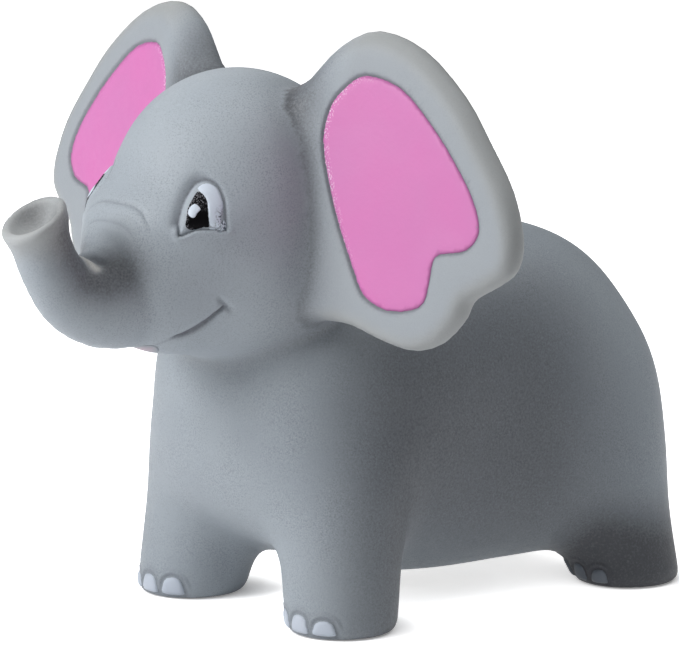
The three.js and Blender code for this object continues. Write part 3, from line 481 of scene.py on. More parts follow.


# Relief of the skin, in millimetres along its own direction, and how dark the skin is painted there: 0 to 1,
# for the painted line of the mouth and for painted shade along the grooves and creases
EYE_REACH, EYE_DEPTH = V([8.0, 9.0]), 6
EYE_FRONT, EYE_BOTTOM = (-1.0, 2.5), (3.0, 4.4)
EYE_GROOVE = dict(width=0.3, front_width=0.8, inner_width=0.4, depth=0.36, front_depth=0.2)
EYE_BALL, EYE_BULGE, EYE_BULGE_LOSS = (0.1, 2.3), 0.4, 0.5
EYE_SILL = dict(out=0.4, width=0.4, height=0.16)
EYE_SOFT_SHADE = dict(strength=0.62, width=0.25, front_width=0.75)
EYE_LINE_SHADE = dict(strength=0.3, width=0.25, out=0.1)
EYE_INNER_SHADE = dict(strength=0.6, width=0.22, bottom_loss=0.35)
MOUTH_START, MOUTH_THIN, MOUTH_END = (0, 0.04), (0.56, 0.66), (0.74, 0.86)
MOUTH_LINE_SHAPE = dict(width=0.2, more=0.34, widest=0.4, spread=0.24, thinned=0.75)
MOUTH_CUT = dict(depth=0.55, width=1.15, swell=0.1, swell_out=1.1, swell_width=0.6)
DIMPLE_CUT = dict(depth=0.4, width=0.5, shade=0.55, shade_width=0.34, end=0.02)
FOLD_START, FOLD_STOP = (51.5, 53), (59, 61)
TRUNK_FOLDS = (
    dict(height=64.5, bend=0.006, turn=0.0007, strength=1.0, fade=(5.8, 8.3)),
    dict(height=61.95, bend=0.025, turn=0.0009, strength=0.7, fade=(4.6, 6.6)),
)
FOLD_SWELL = dict(height=0.2, above=0.9, width=0.8)
FOLD_CUT = dict(depth=0.22, width=0.32, shade=0.3, shade_width=0.24)
CROOK_FADE = (0.5, 1)
CROOK_CUT = dict(depth=0.6, width=0.7, shade=0.5, shade_width=0.6)
CROOK_CREST = dict(height=0.5, width=0.55)
PANEL_BEHIND, PANEL_AHEAD, PANEL_ASIDE, PANEL_ROOT = -6.5, 4, 15, 2
PANEL_STEP = dict(start=-0.35, end=0.15, depth=0.28)
PANEL_GROOVE = dict(out=0.05, width=0.3, depth=0.16)
PANEL_SHADE = dict(out=0.12, width=0.33, strength=0.75)
NO_NAIL = 9.0
NAIL_REACH, NAIL_DEPTH = (6, 8), 4
NAIL_ARCH, NAIL_FADE = (1.4, 2.6), (0.05, 0.7)
NAIL_SWELL = dict(end=0.5, height=0.1)
NAIL_GROOVE = dict(out=0.25, width=0.32, depth=0.18)
NAIL_FOLD = dict(out=0.8, groove_out=1.2, width=0.3, height=0.07)
NAIL_SHADE = dict(out=0.38, width=0.38, strength=0.46, fold_out=1.1, fold_width=0.3, fold_strength=0.12)


def nearest_nail(q):
    least = np.full(len(q), NO_NAIL)
    for _, plane, loop in NAILS:
        uv, depth = plane.flat(q)
        near = (np.abs(depth) < NAIL_DEPTH) & (np.abs(uv[:, 0]) < NAIL_REACH[0]) & (uv[:, 1] < NAIL_REACH[1])
        least[near] = np.minimum(least[near], outline_distance(uv[near], loop))
    return least


def wrinkles(q):
    """Folds over the root of the trunk: heights above each fold, and how strong it is there."""
    across = q[:, 0]
    shown = smooth_step(-q[:, 1], *FOLD_START) * (1 - smooth_step(-q[:, 1], *FOLD_STOP))
    for fold in TRUNK_FOLDS:
        line = fold["height"] - fold["bend"] * across ** 2 - fold["turn"] * across ** 4
        yield q[:, 2] - line, fold["strength"] * shown * (1 - smooth_step(across, *fold["fade"]))


def eye_relief(q, offset, dark):
    """An arched groove, wide and soft on its front side, round a face that bulges."""
    uv, depth = EYE_PLANE.flat(q)
    near = (np.abs(uv) < EYE_REACH).all(1) & (depth > -EYE_DEPTH)
    uv = uv[near]
    edge = outline_distance(uv, EYE_LOOP)
    front = smooth_step(-uv[:, 0], *EYE_FRONT)
    bottom = smooth_step(-uv[:, 1], *EYE_BOTTOM)
    outside = edge > 0
    cut, soft, thin, inner, sill = EYE_GROOVE, EYE_SOFT_SHADE, EYE_LINE_SHADE, EYE_INNER_SHADE, EYE_SILL
    groove = ridge(edge, np.where(outside, cut["width"] + cut["front_width"] * front, cut["inner_width"]))
    groove *= np.where(outside, 1 - bottom, 1.0) * (cut["depth"] + cut["front_depth"] * front)
    bulge = EYE_BULGE * smooth_step(-edge, *EYE_BALL) * (1 - EYE_BULGE_LOSS * bottom)
    offset[near] += bulge - groove + ridge(edge - sill["out"], sill["width"]) * bottom * sill["height"]
    arch = soft["strength"] * ridge(edge, soft["width"] + soft["front_width"] * front)
    arch += thin["strength"] * ridge(edge - thin["out"], thin["width"])
    within = inner["strength"] * ridge(edge, inner["width"]) * (1 - inner["bottom_loss"] * bottom)
    dark[near] += np.where(outside, arch * (1 - bottom), within)


def mouth_relief(q, offset, dark):
    """The line of the mouth, and the dimple at its end."""
    gap, place = line_distance(q, MOUTH_LINE)
    shape, cut = MOUTH_LINE_SHAPE, MOUTH_CUT
    strength = smooth_step(place, *MOUTH_START) * (1 - shape["thinned"] * smooth_step(place, *MOUTH_THIN))
    strength = strength * (1 - smooth_step(place, *MOUTH_END))
    width = shape["width"] + shape["more"] * ridge(place - shape["widest"], shape["spread"])
    offset -= cut["depth"] * ridge(gap, width * cut["width"]) * strength
    offset += cut["swell"] * ridge(gap - cut["swell_out"], cut["swell_width"]) * strength
    dark += np.exp(-(gap / width) ** 4) * strength
    gap, place = line_distance(q, DIMPLE_LINE)
    cut = DIMPLE_CUT
    strength = np.sin(np.clip(place, cut["end"], 1 - cut["end"]) * math.pi)
    offset -= cut["depth"] * ridge(gap, cut["width"]) * strength
    dark += cut["shade"] * ridge(gap, cut["shade_width"]) * strength


def trunk_relief(q, offset, dark):
    """The folds over the root of the trunk, and the crease and the ridge in its crook."""
    swell, cut = FOLD_SWELL, FOLD_CUT
    for height, strength in wrinkles(q):
        raised = swell["height"] * ridge(height + swell["above"], swell["width"])
        offset += (raised - cut["depth"] * ridge(height, cut["width"])) * strength
        dark += cut["shade"] * ridge(height, cut["shade_width"]) * strength
    cut = CROOK_CUT
    gap, place = line_distance(q, FOLD_LINE)
    strength = 1 - smooth_step(place, *CROOK_FADE)
    offset -= cut["depth"] * ridge(gap, cut["width"]) * strength
    dark += cut["shade"] * ridge(gap, cut["shade_width"]) * strength
    gap, place = line_distance(q, RIDGE_LINE)
    offset += CROOK_CREST["height"] * ridge(gap, CROOK_CREST["width"]) * (1 - smooth_step(place, *CROOK_FADE))


def panel_relief(q, offset, dark):
    """The panel of the ear lies lower than its rim, with a fine groove round it."""
    uv, depth = EAR_PLANE.flat(q)
    near = (uv[:, 0] > PANEL_ROOT) & (depth > PANEL_BEHIND) & (depth < PANEL_AHEAD) & (q[:, 0] > PANEL_ASIDE)
    front = ear_front(q[near])
    edge = outline_distance(uv[near], PANEL_LOOP)
    step, groove, shade = PANEL_STEP, PANEL_GROOVE, PANEL_SHADE
    lower = step["depth"] * smooth_step(-edge, step["start"], step["end"])
    offset[near] -= (lower + groove["depth"] * ridge(edge - groove["out"], groove["width"])) * front
    dark[near] += shade["strength"] * ridge(edge - shade["out"], shade["width"]) * front


def nail_relief(q, offset, dark):
    """Nails stand in shallow hollows under arched folds."""
    arch = smooth_step(q[:, 2], *NAIL_ARCH)
    edge = nearest_nail(q)
    groove, fold, shade = NAIL_GROOVE, NAIL_FOLD, NAIL_SHADE
    offset += NAIL_SWELL["height"] * smooth_step(-edge, 0, NAIL_SWELL["end"])
    offset -= groove["depth"] * ridge(edge - groove["out"], groove["width"])
    folds = ridge(edge - fold["out"], fold["width"]) - ridge(edge - fold["groove_out"], fold["width"])
    offset += arch * fold["height"] * folds
    dark += shade["strength"] * ridge(edge - shade["out"], shade["width"])
    dark += shade["fold_strength"] * ridge(edge - shade["fold_out"], shade["fold_width"]) * arch


def relief(p):
    q = folded(p)
    offset = np.zeros(len(q))
    dark = np.zeros(len(q))
    for add in (eye_relief, mouth_relief, trunk_relief, panel_relief, nail_relief):
        add(q, offset, dark)
    return offset * smooth_step(q[:, 2], *NAIL_FADE), np.clip(dark, 0, 1)


EAR_TURN_BAND = (-0.6, 0.6)


def ear_front(q):
    """1 on the front of the ear, 0 on its back."""
    uv, w = EAR_PLANE.flat(q)
    return smooth_step(w + ear_back(uv[:, 1]), *EAR_TURN_BAND)


# How far from each detail the skin is refined, in millimetres, at the first level and at the second
EYE_MARGIN, EYE_BEHIND, EYE_ASIDE = (2.0, 1.1), -5, 9
MOUTH_MARGIN = (2.1, 1.2)
MOUTH_SEEN = 14
DIMPLE_MARGIN = (2.0, 1.1)
PANEL_MARGIN, PANEL_SKIN_ASIDE, PANEL_SKIN_BEHIND = (1.5, 0.75), 17, -6
FOLD_MARGIN, FOLD_SEEN = (2.0, 0.6), 0.02
NAIL_MARGIN, NAIL_EDGE = (1.8, 1.2), 0.4
CROOK_MARGIN = (2.6, 0.0)
RIM_MARGIN = (7.5, 0.0)


def wants_detail(p, level):
    q = folded(p)
    uv, depth = EYE_PLANE.flat(q)
    found = (outline_distance(uv, EYE_LOOP) < EYE_MARGIN[level]) & (depth > EYE_BEHIND)
    found &= np.abs(uv[:, 0]) < EYE_ASIDE
    found |= line_distance(q, MOUTH_LINE[:MOUTH_SEEN])[0] < MOUTH_MARGIN[level]
    found |= line_distance(q, DIMPLE_LINE)[0] < DIMPLE_MARGIN[level]
    uv, depth = EAR_PLANE.flat(q)
    near = (q[:, 0] > PANEL_SKIN_ASIDE) & (depth > PANEL_SKIN_BEHIND) & (depth < PANEL_AHEAD)
    panel = np.full(len(q), FAR)
    panel[near] = outline_distance(uv[near], PANEL_LOOP)
    found |= np.abs(panel) < PANEL_MARGIN[level]
    for height, strength in wrinkles(q):
        found |= (np.abs(height) < FOLD_MARGIN[level]) & (strength > FOLD_SEEN)
    found |= np.abs(nearest_nail(q) - NAIL_EDGE) < NAIL_MARGIN[level]
    found |= line_distance(q, FOLD_LINE)[0] < CROOK_MARGIN[level]
    rim = V([0, *TRUNK_ROUTE[-1][:2]])
    return found | (np.linalg.norm(q - rim, axis=1) < RIM_MARGIN[level])


# Blender objects
def new_object(name, points, faces):
    mesh = bpy.data.meshes.new(name)
    mesh.from_pydata(((V(points) + SHIFT) * MM).tolist(), [], [tuple(int(i) for i in f) for f in faces])
    mesh.validate()
    mesh.update()
    mesh.shade_smooth()
    piece = bpy.data.objects.new(name, mesh)
    bpy.context.scene.collection.objects.link(piece)
    return piece


def add_numbers(piece, name, values):
    attribute = piece.data.attributes.new(name, "FLOAT", "POINT")
    attribute.data.foreach_set("value", np.asarray(values, np.float32))


def skin_points():
    points, quads = mesh_field(skin_field, SKIN_START, SKIN_END, CELL)
    faces = [tuple(q) for q in quads.tolist()]
    points = settle(points, skin_field, 3)
    for level in range(DETAIL_LEVELS):
        wanted = wants_detail(points, level)
        chosen = [len(face) == 4 and wanted[list(face)].all() for face in faces]
        points, faces = refined(points, faces, chosen)
        points = settle(points, skin_field, 2)
    return points, faces


def closeness(a, b, reach):
    return np.exp(-np.maximum(np.maximum(a, b), 0) / reach)


# Where darker paint stands for shade, and how strongly: painted shade on the flanks and low on the rear legs,
# and painted shade mixed with a darker airbrush at the roots of the ears, in the neck and in the crook of the
# trunk
SPRAY_AND_PAINTED_SHADE_SHARE = dict(ear_root=0.68, neck=0.42, crook=0.85, flank=0.84)
SPRAY_AND_PAINTED_SHADE_REACH = dict(ear_root=2.7, neck=1.5)
CROOK_SPRAY_AND_PAINTED_SHADE = dict(core=0.72, core_start=1.0, core_width=2.9, haze=0.3, haze_width=7.5)
# painted highlight: its width along the crook's ridge, and its share at the trunk's tip
PAINTED_HIGHLIGHT_WIDTH, TIP_PAINTED_HIGHLIGHT = 0.75, 0.42
HEEL_BEHIND, HEEL_LOW = (9, 21), (-17, -5)
FLANK_ASIDE, FLANK_BEHIND, FLANK_AHEAD = (13, 25), (-41, -19), (-30, -2)
EAR_ROOT_SPRAY_AND_PAINTED_SHADE = dict(low=0.25, more=0.3, top=(10, 16), fade=(2, 9))
EAR_SKIN, FACE_CLEAR = 1.0, 0.6
EAR_FAR_REACH = 16.0
BARE_START, TIP_AHEAD, TIP_HIGH = (4, 12), (62, 68), (56, 62)
RIM_BAND = (-3.2, -0.6)
HEAD_BAND = (-1, 3)
PALE_BAND, PALE_DEPTH = (0.1, 0.7), 5


# How much darker paint stands for shade at each point: painted shade, with a darker airbrush mixed in at the
# creases
def spray_and_painted_shade_at(q, face, ear, body, painted_highlight, head):
    shade = line_distance(q, SHADE_LINE)[0]
    spot, root = CROOK_SPRAY_AND_PAINTED_SHADE, EAR_ROOT_SPRAY_AND_PAINTED_SHADE
    crook = spot["core"] * ridge(np.maximum(shade - spot["core_start"], 0), spot["core_width"])
    crook = (crook + spot["haze"] * ridge(shade, spot["haze_width"])) * (1 - painted_highlight)
    # painted shade low on the rear legs, and on the flanks away from the head
    heel = smooth_step(q[:, 1], *HEEL_BEHIND) * smooth_step(-q[:, 2], *HEEL_LOW)
    flank = smooth_step(q[:, 0], *FLANK_ASIDE) * smooth_step(q[:, 1], *FLANK_BEHIND)
    flank = flank * smooth_step(-q[:, 1], *FLANK_AHEAD)
    patch, _ = EAR_PLANE.flat(q)
    behind = root["low"] + root["more"] * smooth_step(patch[:, 1], *root["top"])
    behind = behind * (1 - smooth_step(patch[:, 0], *root["fade"]))
    return (SPRAY_AND_PAINTED_SHADE_SHARE["ear_root"] * closeness(face, ear, SPRAY_AND_PAINTED_SHADE_REACH["ear_root"])
            + SPRAY_AND_PAINTED_SHADE_SHARE["neck"] * closeness(smooth_min(face, ear, 1), body, SPRAY_AND_PAINTED_SHADE_REACH["neck"])
            + SPRAY_AND_PAINTED_SHADE_SHARE["crook"] * crook + heel + SPRAY_AND_PAINTED_SHADE_SHARE["flank"] * flank * (1 - head)
            + behind * (face > 0) * (ear < EAR_SKIN))


def build_skin():
    points, faces = skin_points()
    slope = slope_of(skin_field, points)
    outward = slope / np.linalg.norm(slope, axis=1)[:, None]
    offset, dark = relief(points)
    q = folded(points)
    piece = new_object("vinyl_body", points + outward * offset[:, None], faces)
    face, ear, body = face_field(q), ear_field(q, EAR_FAR_REACH), body_field(q)
    head = smooth_step(body - np.minimum(face, ear), *HEAD_BAND)
    # a painted highlight along the ridge in the crook of the trunk, and on the rim of its tip over the pale
    # bare vinyl
    painted_highlight = ridge(line_distance(q, RIDGE_LINE)[0], PAINTED_HIGHLIGHT_WIDTH)
    uv, _ = EAR_PLANE.flat(q)
    on_ear = smooth_step(uv[:, 0], *BARE_START) * (ear < EAR_SKIN) * (face > FACE_CLEAR)
    tip = smooth_step(-q[:, 1], *TIP_AHEAD) * smooth_step(q[:, 2], *TIP_HIGH)
    eye, depth = EYE_PLANE.flat(q)
    socket = smooth_step(-outline_distance(eye, EYE_LOOP), *PALE_BAND) * (np.abs(depth) < PALE_DEPTH)
    add_numbers(piece, "dark", dark)
    add_numbers(piece, "spray_and_painted_shade", np.clip(spray_and_painted_shade_at(q, face, ear, body, painted_highlight, head), 0, 1))
    add_numbers(piece, "bare", np.clip(on_ear + tip, 0, 1))
    add_numbers(piece, "rim", on_ear * smooth_step(outline_distance(uv, EAR_LOOP), *RIM_BAND))
    add_numbers(piece, "painted_highlight", np.clip(painted_highlight + TIP_PAINTED_HIGHLIGHT * tip, 0, 1))
    add_numbers(piece, "head", head)
    add_numbers(piece, "pale", socket)
    return piece


# Paint: thin closed films that follow the skin and its relief
# How a point lands on the skin: it starts above it and steps down by a share of its distance
LAND_ABOVE, LAND_ROUNDS, LAND_PACE = 9, 60, 0.8


def land(plane, uv, lift):
    """Points of the relief skin under places of a plane, and the skin's direction there."""
    p = plane.origin + uv[:, :1] * plane.right + uv[:, 1:] * plane.up + plane.out * LAND_ABOVE
    for _ in range(LAND_ROUNDS):
        p = p - plane.out * (skin_field(p) * LAND_PACE)[:, None]
    slope = slope_of(skin_field, p)
    outward = slope / np.linalg.norm(slope, axis=1)[:, None]
    return p + outward * (relief(p)[0] + lift)[:, None], outward


def even_loop(loop, step):
    closed = np.vstack([loop, loop[:1]])
    lengths = np.r_[0, np.cumsum(np.linalg.norm(np.diff(closed, axis=0), axis=1))]
    places = np.linspace(0, lengths[-1], max(12, int(lengths[-1] / step)), endpoint=False)
    return np.column_stack([np.interp(places, lengths, closed[:, k]) for k in (0, 1)])


def rough_loop(loop, amount, seed):
    """An outline as a brush or an airbrush mask leaves it."""
    rng = np.random.default_rng(seed)
    wave = sum(np.roll(rng.normal(size=len(loop)), k) * w for k, w in ((0, 0.25), (1, 0.5), (2, 0.25)))
    along = np.roll(loop, -1, axis=0) - np.roll(loop, 1, axis=0)
    along /= np.linalg.norm(along, axis=1)[:, None]
    return loop + np.column_stack([along[:, 1], -along[:, 0]]) * (wave * amount)[:, None]


FILM_DEPTH = 0.3


def film_mesh(plane, loop, step, lift, mirror, rough, seed, dome):
    loop = rough_loop(even_loop(loop, step * 0.6), rough, seed)
    low, high = loop.min(0), loop.max(0)
    xs = np.arange(low[0], high[0], step)
    ys = np.arange(low[1], high[1], step * 0.866)
    grid = V([(x + (row % 2) * step / 2, y) for row, y in enumerate(ys) for x in xs])
    grid = grid[outline_distance(grid, loop) < -0.45 * step]
    flat = np.vstack([loop, grid])
    edges = [(i, (i + 1) % len(loop)) for i in range(len(loop))]
    found = delaunay_2d_cdt([Vector(p) for p in flat.tolist()], edges, [], 1, 1e-5)
    flat = V([tuple(p) for p in found[0]])
    faces = [tuple(f) for f in found[2]]
    top, outward = land(plane, flat, lift)
    edge = outline_distance(flat, loop)
    top = top + outward * (dome * smooth_step(-edge, 0, 0.5))[:, None]
    bottom = top - outward * FILM_DEPTH
    a, b, c = (flat[[face[k] for face in faces]] for k in range(3))
    one, two = b - a, c - a
    if (one[:, 0] * two[:, 1] - two[:, 0] * one[:, 1]).sum() < 0:
        faces = [f[::-1] for f in faces]
    count = len(flat)
    sides = dict.fromkeys(pair for face in faces for pair in zip(face, face[1:] + face[:1]))
    border = [(a, b) for a, b in sides if (b, a) not in sides]
    solid = faces + [tuple(i + count for i in f[::-1]) for f in faces]
    solid += [(b, a, a + count, b + count) for a, b in border]
    points = np.vstack([top, bottom])
    if mirror:
        points = points * [-1, 1, 1]
        solid = [f[::-1] for f in solid]
    return points, solid, np.concatenate([edge, edge]), np.vstack([flat, flat])


def film(name, node, material, plane, loops, mirror, step, lift, rough, seed, dome=0.0):
    points, faces, edges, flats = [], [], [], []
    for k, loop in enumerate(loops):
        p, f, e, uv = film_mesh(plane, V(loop, float), step, lift, mirror, rough, seed + k, dome)
        shift = sum(len(x) for x in points)
        faces += [tuple(i + shift for i in row) for row in f]
        points.append(p)
        edges.append(e)
        flats.append(uv)
    piece = new_object(name, np.vstack(points), faces)
    add_numbers(piece, "edge", np.concatenate(edges))
    flats = np.vstack(flats)
    add_numbers(piece, "across", flats[:, 0])
    add_numbers(piece, "height", flats[:, 1])
    piece.data.materials.append(material)
    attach(piece, "toy")
    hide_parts(node)
    return piece


# Materials
class Nodes:
    """The nodes of a material or of the world."""

    def __init__(self, holder):
        holder.use_nodes = True
        self.holder = holder
        self.tree = holder.node_tree
        self.shader = self.tree.nodes.get("Principled BSDF")

    def add(self, kind, **settings):
        node = self.tree.nodes.new(kind)
        for key, value in settings.items():
            setattr(node, key, value)
        return node

    def link(self, source, target):
        self.tree.links.new(source, target)

    def value(self, source, name):
        target = self.shader.inputs[name]
        if isinstance(source, tuple):
            target.default_value = (*source, 1.0)
        elif isinstance(source, (int, float)):
            target.default_value = source
        else:
            self.link(source, target)

    def attribute(self, name):
        return self.add("ShaderNodeAttribute", attribute_name=name).outputs["Fac"]

    def place(self):
        return self.add("ShaderNodeTexCoord").outputs["Object"]

    def noise(self, scale, detail=2.0, roughness=0.5, vector=None):
        node = self.add("ShaderNodeTexNoise")
        node.inputs["Scale"].default_value = scale
        node.inputs["Detail"].default_value = detail
        node.inputs["Roughness"].default_value = roughness
        self.link(vector or self.place(), node.inputs["Vector"])
        return node.outputs["Fac"]

    def math(self, operation, a, b=None, c=None, clamp=False):
        node = self.add("ShaderNodeMath", operation=operation, use_clamp=clamp)
        for socket, value in zip(node.inputs, (a, b, c)):
            if value is None:
                continue
            if isinstance(value, (int, float)):
                socket.default_value = value
            else:
                self.link(value, socket)
        return node.outputs[0]

    def times(self, a, b):
        return self.math("MULTIPLY", a, b)

    def span(self, source, low, high, out_low=0.0, out_high=1.0):
        node = self.add("ShaderNodeMapRange")
        for key, value in zip(("From Min", "From Max", "To Min", "To Max"), (low, high, out_low, out_high)):
            node.inputs[key].default_value = value
        self.link(source, node.inputs["Value"])
        return node.outputs["Result"]

    def mix(self, share, a, b):
        node = self.add("ShaderNodeMix", data_type="RGBA")
        for socket, value in ((node.inputs[0], share), (node.inputs[6], a), (node.inputs[7], b)):
            if isinstance(value, (int, float)):
                socket.default_value = value
            elif isinstance(value, tuple):
                socket.default_value = (*value, 1.0)
            else:
                self.link(value, socket)
        return node.outputs[2]

    def bump(self, height, distance, strength):
        node = self.add("ShaderNodeBump")
        node.inputs["Strength"].default_value = strength
        node.inputs["Distance"].default_value = distance
        self.link(height, node.inputs["Height"])
        self.link(node.outputs["Normal"], self.shader.inputs["Normal"])


def linear(red, green, blue):
    def one(c):
        c /= 255
        return c / 12.92 if c <= 0.04045 else ((c + 0.055) / 1.055) ** 2.4
    return one(red), one(green), one(blue)


# Colours as the eye reads them, 0 to 255, each as the two tones that a soft mottle mixes, or as one
BODY_TONES = (149, 157, 165), (156, 164, 171)
HEAD_PAINTED_LIGHT_TONES = (160, 168, 176), (167, 175, 182)
BARE_TONE, RIM_TONE = (155, 161, 167), (163, 164, 161)
# the pale paint of the eye socket, and the tone of a painted highlight on the trunk
SOCKET_TONE, PAINTED_HIGHLIGHT_TONE = (186, 195, 206), (204, 204, 200)
DARK_SPECK, LIGHT_SPECK = (96, 101, 108), (192, 199, 206)
SPRAY_AND_PAINTED_SHADE_TONE, LINE_AND_PAINTED_SHADE_TONE = (58, 57, 61), (66, 66, 76)
PINK_TONES = (207, 118, 178), (202, 121, 178)
PINK_DOT, PINK_OVERSPRAY = (240, 226, 238), (158, 88, 142)
# the lip's pink is dull and dark: partly thin overspray, partly painted shade under the trunk
LIP_TONES, LIP_EDGE = ((160, 139, 153), (151, 142, 153)), (148, 154, 162)
WHITE_TONES = (196, 203, 214), (180, 189, 202)
# the white paint darkened as painted shade, for the nails of the rear feet
SHADED_WHITE_TONES = (139, 146, 156), (120, 127, 137)
EYE_WHITE_TONES, EYE_FLECK = ((212, 221, 232), (198, 208, 221)), (44, 56, 70)
BLACK_TONES, BLACK_FLECK = ((3, 3, 5), (9, 8, 10)), (150, 150, 157)
PLASTIC_TONES = (214, 212, 205), (202, 200, 192)
REED_TONES = (196, 178, 132), (182, 163, 116)
FLOOR_TONE = (246, 246, 247)

# Shares of those tones, and scales of the noises in turns per metre
RIM_SHARE, SOCKET_SHARE, DARK_SPECK_SHARE, LIGHT_SPECK_SHARE = 0.55, 0.1, 0.3, 0.22
SPRAY_AND_PAINTED_SHADE_TONE_SHARE, LINE_AND_PAINTED_SHADE_SHARE = 0.84, 0.72
MOTTLE_SCALE, SPECK_SCALE, PATCH_SCALE, GRAIN_SCALE, LINE_AND_PAINTED_SHADE_SCALE = 55, 4300, 140, 2900, 1700
MIDDLE = (0.3, 0.7)


def vinyl_material():
    n = Nodes(bpy.data.materials.new("grey_vinyl"))
    mottle = n.span(n.noise(MOTTLE_SCALE, 3), *MIDDLE)
    colour = n.mix(mottle, *(linear(*tone) for tone in BODY_TONES))
    # painted light: the head is given lighter tones than the body, as if nearer the lamps
    colour = n.mix(n.attribute("head"), colour, n.mix(mottle, *(linear(*tone) for tone in HEAD_PAINTED_LIGHT_TONES)))
    bare = n.attribute("bare")
    colour = n.mix(bare, colour, linear(*BARE_TONE))
    colour = n.mix(n.times(n.attribute("rim"), RIM_SHARE), colour, linear(*RIM_TONE))
    colour = n.mix(n.times(n.attribute("pale"), SOCKET_SHARE), colour, linear(*SOCKET_TONE))
    # painted highlight along the ridge in the crook of the trunk and at the rim of its tip
    colour = n.mix(n.attribute("painted_highlight"), colour, linear(*PAINTED_HIGHLIGHT_TONE))
    # specks of the airbrushed coat, fewer where the bare vinyl shows
    speck = n.noise(SPECK_SCALE, 1.5, 0.6)
    patch = n.span(n.noise(PATCH_SCALE, 2), 0.35, 0.65, 0.35, 1.0)
    covered = n.times(patch, n.math("SUBTRACT", 1.0, n.times(bare, 0.8)))
    dark_speck = n.times(n.span(speck, 0.47, 0.36), covered)
    light_speck = n.times(n.span(speck, 0.55, 0.68), covered)
    colour = n.mix(n.times(dark_speck, DARK_SPECK_SHARE), colour, linear(*DARK_SPECK))
    colour = n.mix(n.times(light_speck, LIGHT_SPECK_SHARE), colour, linear(*LIGHT_SPECK))
    # painted shade: darker paint in the creases, in the crook of the trunk, on the flanks and low on the rear
    # legs, with a soft grainy edge; in the creases a darker airbrush is mixed in
    grain = n.math("MULTIPLY_ADD", n.noise(GRAIN_SCALE, 2), 0.7, 0.65)
    spray_and_painted_shade = n.math("MULTIPLY", n.attribute("spray_and_painted_shade"), grain, clamp=True)
    colour = n.mix(n.times(spray_and_painted_shade, SPRAY_AND_PAINTED_SHADE_TONE_SHARE), colour, linear(*SPRAY_AND_PAINTED_SHADE_TONE))
    # the painted line of the mouth, and painted shade along the grooves of the eyes, the ear panels and the
    # nails and in the folds of the trunk
    grain = n.math("MULTIPLY_ADD", n.noise(LINE_AND_PAINTED_SHADE_SCALE, 2), 0.6, 0.7)
    line = n.math("MULTIPLY", n.attribute("dark"), grain, clamp=True)
    colour = n.mix(n.times(line, LINE_AND_PAINTED_SHADE_SHARE), colour, linear(*LINE_AND_PAINTED_SHADE_TONE))
    n.value(colour, "Base Color")
    n.value(n.span(n.noise(900, 2), *MIDDLE, 0.5, 0.62), "Roughness")
    n.value(0.35, "Specular IOR Level")
    n.value(0.12, "Subsurface Weight")
    n.shader.inputs["Subsurface Radius"].default_value = (1.0, 0.9, 0.8)
    n.value(1.2 * MM, "Subsurface Scale")
    n.bump(n.math("MULTIPLY_ADD", speck, 0.6, n.times(n.noise(420, 2), 0.4)), 0.06 * MM, 0.6)
    return n.holder


def paint_material(name, tones, flecks=None, roughness=0.5, shine=0.35):
    n = Nodes(bpy.data.materials.new(name))
    main, other = (linear(*tone) for tone in tones)
    colour = n.mix(n.span(n.noise(90, 3), *MIDDLE), main, other)
    colour = n.mix(n.span(n.noise(2300, 2), 0.4, 0.7, 0.0, 0.22), colour, other)
    if flecks:
        colour = flecks(n, colour)
    n.value(colour, "Base Color")
    n.value(n.span(n.noise(700, 2), *MIDDLE, roughness - 0.06, roughness + 0.06), "Roughness")
    n.value(shine, "Specular IOR Level")
    n.bump(n.noise(1500, 2), 0.05 * MM, 0.5)
    return n.holder


def pink_flecks(n, colour):
    """Pale dots along the inner edge, and a thin darker overspray at the rest of the edge."""
    edge = n.attribute("edge")
    inner = n.span(n.attribute("across"), 15.0, 8.0)
    dots = n.times(n.span(edge, -1.1, -0.15), n.span(n.noise(4000, 1), 0.56, 0.62))
    colour = n.mix(n.times(dots, n.times(inner, 0.85)), colour, linear(*PINK_DOT))
    rest = n.math("SUBTRACT", 1.0, inner, clamp=True)
    return n.mix(n.times(n.span(edge, -0.4, 0.0), n.times(rest, 0.45)), colour, linear(*PINK_OVERSPRAY))


def black_flecks(n, colour):
    """The brush leaves the grey showing in streaks near the top and the left of the pupil."""
    stretch = n.add("ShaderNodeMapping")
    stretch.inputs["Scale"].default_value = (1.0, 1.0, 0.45)
    n.link(n.place(), stretch.inputs["Vector"])
    streak = n.span(n.noise(5600, 2, 0.6, stretch.outputs["Vector"]), 0.53, 0.6)
    top = n.span(n.attribute("height"), -1.6, 1.0)
    side = n.times(n.span(n.attribute("edge"), -0.7, -0.05), n.span(n.attribute("across"), -1.2, -2.0))
    share = n.times(streak, n.math("MAXIMUM", top, side))
    return n.mix(n.times(share, 0.8), colour, linear(*BLACK_FLECK))


def lip_fade(n, colour):
    return n.mix(n.span(n.attribute("edge"), -1.7, -0.2), colour, linear(*LIP_EDGE))


def white_flecks(n, colour):
    """Dark streaks low in the outer end of the white of the eye."""
    streak = n.span(n.noise(2900, 2, 0.6), 0.46, 0.6)
    low = n.times(n.span(n.attribute("height"), -0.2, -2.0), n.span(n.attribute("across"), 1.2, 2.1))
    return n.mix(n.times(n.times(streak, low), 0.9), colour, linear(*EYE_FLECK))


vinyl = vinyl_material()
pink = paint_material("pink_paint", PINK_TONES, pink_flecks)
lip_pink = paint_material("lip_paint", LIP_TONES, lip_fade)
white = paint_material("white_paint", WHITE_TONES)
shaded_white = paint_material("shaded_white_paint", SHADED_WHITE_TONES)
eye_white = paint_material("eye_white_paint", EYE_WHITE_TONES, white_flecks, roughness=0.42)
black = paint_material("black_paint", BLACK_TONES, black_flecks, shine=0.05)
plastic = paint_material("squeaker_plastic", PLASTIC_TONES)
reed = paint_material("reed_film", REED_TONES, roughness=0.3)

skin = build_skin()
skin.data.materials.append(vinyl)
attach(skin, "toy")
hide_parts("vinyl_skin")

